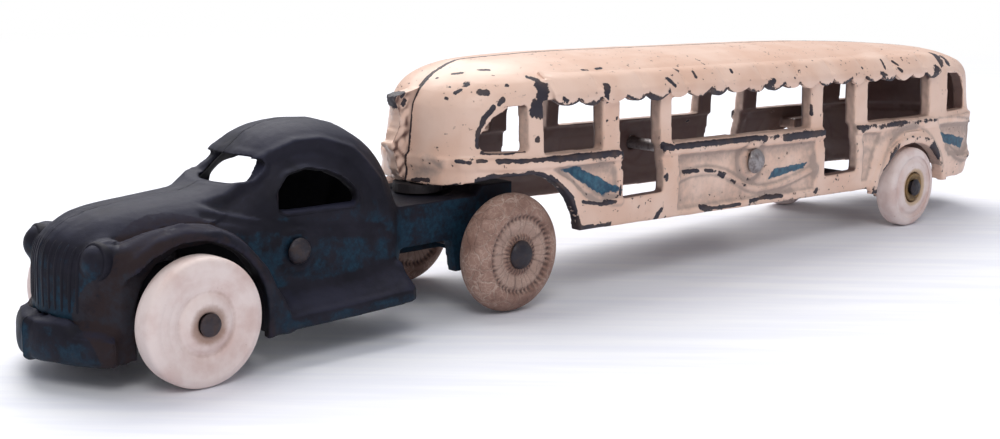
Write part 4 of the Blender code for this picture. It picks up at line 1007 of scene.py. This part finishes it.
def makeAwning(spec, side, label):
    mesh = gridMesh("awning_" + label, awningSheet(spec, side))
    strip = pieceFromMesh("awning_" + label, mesh, finishes["cream"], "trailer")
    wall = strip.modifiers.new("wall", "SOLIDIFY")
    wall.thickness = spec["thick"] * mm
    wall.offset = -1.0 if side < 0 else 1.0
    edge = strip.modifiers.new("edge", "BEVEL")
    edge.width = 0.25 * mm
    edge.segments = 2
    edge.limit_method = "ANGLE"
    bpy.context.view_layer.update()
    graph = bpy.context.evaluated_depsgraph_get()
    solid = tidyMesh(bpy.data.meshes.new_from_object(strip.evaluated_get(graph)))
    strip.modifiers.clear()
    strip.data = solid
    solid.polygons.foreach_set("use_smooth", np.ones(len(solid.polygons), bool))
    bpy.data.meshes.remove(mesh)
    place, normal, _ = meshArrays(solid)
    height = place[:, 2] - eaveAt(place[:, 0])
    u = (place[:, 0] - spec["front"]) / spec["pitch"]
    worn = 0.52 + 0.22 * np.sin(1.9 * np.floor(u) + 1.0) + 0.12 * lumps(place, 5.0, 21)
    bare = worn - 0.42 * np.clip(height - scallop(spec, u), -0.3, 6.0)
    if side < 0:
        bare = np.maximum(bare, strokeField(place, paintLost + awningChips, surfaceTree(solid)))
    away = foldDistance(spec, place[:, 0], height)
    within = step(-normal[:, 1] * side, 0.2, 0.6) * (height < 4.5)
    # painted shade along the folds between the puffs, over a slight even darkening
    setFields(solid, bare=bare - 0.6 * within, grime=0.30 * ridge(away, 0.5) + 0.08, teal=0.0, inside=within)


awningChips = [(2.6, [(565, 99), (567, 101)]), (3.0, [(768, 85), (774, 81)]), (3.4, [(785, 84), (790, 88)]),
               (1.2, [(795, 78)]), (1.6, [(881, 73), (887, 75)]), (1.6, [(898, 68), (902, 71)])]

for side, label in sides:
    name, node = "trailerCasting_" + label, "trailer_%s_half" % label
    skin = castingSkin(name, node, side, trailer["cell"], trailer["rounds"])
    shapeTrailer(skin, side, trailer)
    wearTrailer(skin, side, trailer)
    castings = lengths(skin, name, trailer["cuts"], finishes["cream"], "trailer")
    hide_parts("trailer_%s_half" % label)
    for casting in castings:
        print(casting.name, len(casting.data.polygons), "faces")
    makeAwning(awning, side, label)


# wheels, rods and rivets

wheels = {
    "front": {"body": "front_wheel_", "node": "front_tyre_", "x": -123.4, "radius": 11.5, "width": 5.7,
              "track": 22.3, "slid": -0.7, "bore": 1.9, "stain": 3.4, "finish": "frontRubber",
              "slot": "white_rubber"},
    "rear": {"body": "rear_wheel_", "node": "rear_tyre_", "x": -47.4, "radius": 12.4, "width": 8.1,
             "track": 21.1, "slid": 0.0, "bore": 1.9, "finish": "oldRubber", "slot": "old_rubber"},
    "trailer": {"body": "trailer_wheel_", "node": "trailer_tyre_", "x": 98.7, "radius": 10.6, "width": 5.4,
                "track": 22.3, "slid": 0.0, "bore": 4.1, "stain": 2.0, "finish": "trailerRubber",
                "slot": "white_rubber"},
}


def bothSides(face):
    # the outline of a ring from the near half of its section, which starts and ends on the middle plane
    return rounded(face + [(r, -h) for r, h in reversed(face[1:-1])], 2)


def discProfile(radius, width, bore):
    # solid tyre: rounded shoulders, a nearly flat face that sinks a little towards a low hub ring
    half = width / 2
    face = [(radius, 0.0), (radius, half - 1.3), (radius - 0.35, half - 0.45), (radius - 1.2, half - 0.02),
            (radius - 2.4, half), (bore + 4.6, half - 0.30), (bore + 3.4, half - 0.75),
            (bore + 2.7, half - 0.10), (bore + 1.6, half + 0.22), (bore + 0.3, half + 0.12),
            (bore, half - 0.3), (bore, 0.0)]
    return bothSides(face)


def balloonProfile(radius, width, bore):
    # fat tyre: a round tread, a groove in the side wall, a flat band and a knurled ring round the head
    half = width / 2
    wall = [(0.0, 0.0), (0.20, 1.2), (0.80, 2.25), (1.65, 3.1), (2.7, 3.7), (3.6, 4.0), (4.1, 3.8),
            (4.5, 3.25), (4.9, 3.25), (5.5, 3.55), (6.9, 3.35), (7.6, 3.0), (8.0, 3.0), (8.5, 3.4),
            (9.3, 3.4)]
    face = [(radius - inwards, h) for inwards, h in wall] + [(bore + 0.3, 3.1), (bore, 2.8), (bore, 0.0)]
    face = [(r, h * half / 4.05) for r, h in face]
    return bothSides(face)


def tyreRipple(spec, kind):
    # knurls and ribs on the rear tyres, a slight wave on the others
    def ripple(radius, along, turn):
        turn = np.broadcast_to(turn, radius.shape)
        out = np.sign(along)
        if kind == "rear":
            ring = ridge(radius - (spec["radius"] - 8.8), 0.55)
            along = along + out * 0.16 * ring * np.sign(np.sin(turn * 30.0)) * (np.abs(along) > 2.0)
            wall = ridge(radius - (spec["radius"] - 4.0), 0.7)
            along = along + out * 0.07 * wall * np.sin(turn * 44.0) * (np.abs(along) > 2.0)
        else:
            along = along + out * 0.05 * np.sin(turn * 3.0 + 0.8) * (np.abs(along) > 1.0)
        return radius, along
    return ripple


def wearTyre(mesh, centre, spec, kind):
    # a stain round the axle and on the front tyres a painted shade ring in the hub's groove, or on the rear
    # tyres a pale band and dark marks along their rings
    place = meshArrays(mesh)[0]
    wide, high = place[:, 0] - centre[0], place[:, 2] - centre[2]
    radius = np.hypot(wide, high)
    angle = np.arctan2(high, wide)
    if kind == "rear":
        hub = step(radius, 4.0, 4.8) * (1.0 - step(radius, 7.0, 7.8))
        wall = ridge(radius - (spec["radius"] - 4.6), 0.6)
        ring = ridge(radius - (spec["radius"] - 8.7), 0.7)
        marks = wall * step(np.sin(angle * 44.0), -0.5, 0.4) + ring * step(np.sin(angle * 30.0), -0.2, 0.5)
        marks += 0.45 * hub * step(np.sin(angle * 23.0 + 2.5 * np.sin(angle * 5.0)), 0.80, 0.97)
        setFields(mesh, hub=hub, marks=np.clip(marks, 0.0, 1.0))
    else:
        hub = 1.0 - step(radius, spec["bore"] + 0.4, spec["bore"] + spec["stain"])
        # painted shade: a dark ring in the groove round the front tyre's hub
        hub = np.maximum(hub, 0.55 * (kind == "front") * ridge(radius - 5.6, 0.7))
        setFields(mesh, hub=hub, turning=np.sin(radius * 4.0) * 0.5)


def makeWheels(specs):
    for kind, spec in specs.items():
        shape = balloonProfile if kind == "rear" else discProfile
        profile = shape(spec["radius"], spec["width"], spec["bore"])
        for side, label in sides:
            name = kind + "Tyre_" + label
            centre = (spec["x"], side * (spec["track"] - spec["width"] / 2) + spec["slid"], spec["radius"])
            mesh = spunMesh(name, profile, centre, (0.0, side, 0.0), 192, tyreRipple(spec, kind))
            wearTyre(mesh, centre, spec, kind)
            tyre = pieceFromMesh(name, mesh, finishes[spec["finish"]], spec["body"] + label)
            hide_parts(spec["node"] + label)


makeWheels(wheels)

bush = {"outer": 3.8, "inner": 1.9, "half": 2.9}


def makeBushes(spec, wheel):
    # a turned ring with rounded lips
    profile = [(spec["outer"], 0.0), (spec["outer"], spec["half"] - 0.2), (spec["outer"] - 0.3, spec["half"]),
               (spec["outer"] - 1.0, spec["half"] - 0.35), (spec["inner"] + 0.2, spec["half"] - 0.5),
               (spec["inner"], spec["half"] - 0.7)]
    profile = rounded(profile + [(r, -h) for r, h in reversed(profile[1:])], 2)
    for side, label in sides:
        centre = (wheel["x"], side * (wheel["track"] - wheel["width"] / 2), wheel["radius"])
        mesh = spunMesh("trailerBush_" + label, profile, centre, (0.0, side, 0.0), 64)
        ring = pieceFromMesh("trailerBush_" + label, mesh, finishes["brass"], wheel["body"] + label)
        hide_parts("trailer_bush_" + label)


makeBushes(bush, wheels["trailer"])

rods = {
    "frontAxle": {"node": "front_axle", "body": "tractor", "at": (-123.4, -0.7, 11.5), "rod": 1.6,
                  "head": 2.1, "reach": 22.85, "dome": 0.7, "slot": False, "finish": "rod"},
    "rearAxle": {"node": "rear_axle", "body": "tractor", "at": (-47.4, 0.0, 12.4), "rod": 1.6, "head": 3.05,
                 "reach": 20.6, "dome": 1.5, "slot": False, "finish": "darkRod"},
    "trailerAxle": {"node": "trailer_axle", "body": "trailer", "at": (98.7, 0.0, 10.6), "rod": 1.6,
                    "head": 2.3, "reach": 22.85, "dome": 0.8, "slot": False, "finish": "darkRod"},
    "cabRivet": {"node": "cab_rivet", "body": "tractor", "at": (-99.4, 0.0, 19.7), "rod": 1.5, "head": 2.5,
                 "reach": 15.9, "dome": 1.3, "slot": False, "finish": "darkRod"},
    "bodyRivet": {"node": "body_rivet", "body": "trailer", "at": (29.5, 0.0, 24.4), "rod": 1.5, "head": 3.0,
                  "reach": 21.2, "dome": 1.5, "slot": True, "finish": "rivet"},
}


def hammered(spec):
    # uneven domes, and a slot across them where the rod has one
    def ripple(radius, along, turn):
        turn = np.broadcast_to(turn, radius.shape)
        part = radius / spec["head"]
        dent = 0.10 * np.sin(turn * 2.0 + 0.6) * part + 0.05 * np.sin(turn * 5.0 + 2.0) * part
        groove = spec["slot"] * 0.35 * ridge(radius * np.sin(turn - 0.9), 0.35)
        return radius, along + np.sign(along) * (np.abs(along) > spec["reach"]) * (dent - groove)
    return ripple


def makeRods(specs):
    # a rod across the toy whose ends are hammered to low domes
    for name, spec in specs.items():
        head, reach, dome, rod = spec["head"], spec["reach"], spec["dome"], spec["rod"]
        end = [(0.0, reach + dome), (head * 0.45, reach + dome * 0.92), (head * 0.82, reach + dome * 0.55),
               (head, reach + dome * 0.12), (head * 0.97, reach - 0.05), (rod, reach), (rod, reach - 1.0)]
        profile = rounded(end + [(r, -h) for r, h in reversed(end)], 3, closed=False)
        mesh = spunMesh(name, profile, spec["at"], (0.0, 1.0, 0.0), 48, hammered(spec), poles=True)
        rodPiece = pieceFromMesh(name, mesh, finishes[spec["finish"]], spec["body"])
        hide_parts(spec["node"])


makeRods(rods)
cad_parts["king_pin"].data.materials.clear()
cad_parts["king_pin"].data.materials.append(finishes["pin"])
print("wheels, rods and rivets made")


# plain studio: pale floor, white surround, one broad lamp above and behind, a weaker one in front

studio = {
    "half": 3000.0, "floor": (0.83, 0.845, 0.92), "streak": (0.90, 0.91, 0.955), "near": 0.24, "far": 0.75,
    "surround": 0.50, "sky": (0.90, 0.93, 1.0), "light": (1.0, 0.98, 0.95),
    "lights": {"key": (8.4, (0.15, 0.45, 0.75), 0.8), "front": (3.4, (-0.55, -0.60, 0.85), 0.45)},
}


def makeFloor(spec):
    corners = [[(x * spec["half"], y * spec["half"], 0.0) for x in (-1.0, 1.0)] for y in (-1.0, 1.0)]
    floorMesh = gridMesh("floor", np.array(corners))
    floor = addObject("floor", floorMesh)
    material, shader, place = startFinish("paleFloor")
    tree = material.node_tree
    # fine streaks across the line of sight
    stretched = place.node("Mapping", {"vector_type": "TEXTURE"}, {
        "Vector": place, "Rotation": (0.0, 0.0, -cameraFit["turn"]), "Scale": (14.0, 1.0, 1.0)})
    shade = stretched.noise(5.0, 4.0, 0.6)
    colour = shade.ramp(0.35, 0.65).blend(spec["floor"], spec["streak"])
    plug(shader, Base_Color=colour, Roughness=0.55 + shade * 0.1)
    # far from the toy the floor turns into the white of the backdrop, for the camera only
    away = place.node("VectorMath", {"operation": "LENGTH"}, {0: place}, "Value")
    isCamera = place.node("LightPath", {}, {}, "Is Camera Ray")
    white = place.node("Emission", {}, {"Color": (1.0, 1.0, 1.0), "Strength": 1.0})
    shown = place.node("MixShader", {}, {
        0: away.ramp(spec["near"], spec["far"]) * isCamera, 1: Wire(tree, shader.outputs[0]), 2: white})
    tree.links.new(shown.socket, tree.nodes["Material Output"].inputs["Surface"])
    floorMesh.materials.append(material)
    floor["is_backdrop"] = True


def makeLights(spec):
    # the camera sees a white surround, and the toy gets a dimmer one
    world = bpy.data.worlds.new("studio")
    bpy.context.scene.world = world
    world.use_nodes = True
    back = world.node_tree.nodes["Background"]
    isCamera = Wire(world.node_tree, back.outputs[0]).node("LightPath", {}, {}, "Is Camera Ray")
    level = isCamera * (1.0 - spec["surround"]) + spec["surround"]
    back.inputs["Color"].default_value = (*spec["sky"], 1.0)
    world.node_tree.links.new(level.socket, back.inputs["Strength"])
    for name, (power, spot, size) in spec["lights"].items():
        data = bpy.data.lights.new(name, "AREA")
        data.energy = power
        data.size = size
        data.color = spec["light"]
        lampObject = addObject(name, data)
        lampObject.location = spot
        lampObject.rotation_euler = Vector(spot).to_track_quat("Z", "Y").to_euler()


makeFloor(studio)
makeLights(studio)
bpy.context.scene.view_settings.view_transform = "Standard"
bpy.context.view_layer.update()
print("floor and lights made")
shownBox = [list(corner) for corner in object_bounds()]
for label, box in (("cad", cadBox), ("shown", shownBox)):
    print(label, "box, mm:", np.round(np.array(box) / mm, 1).tolist())
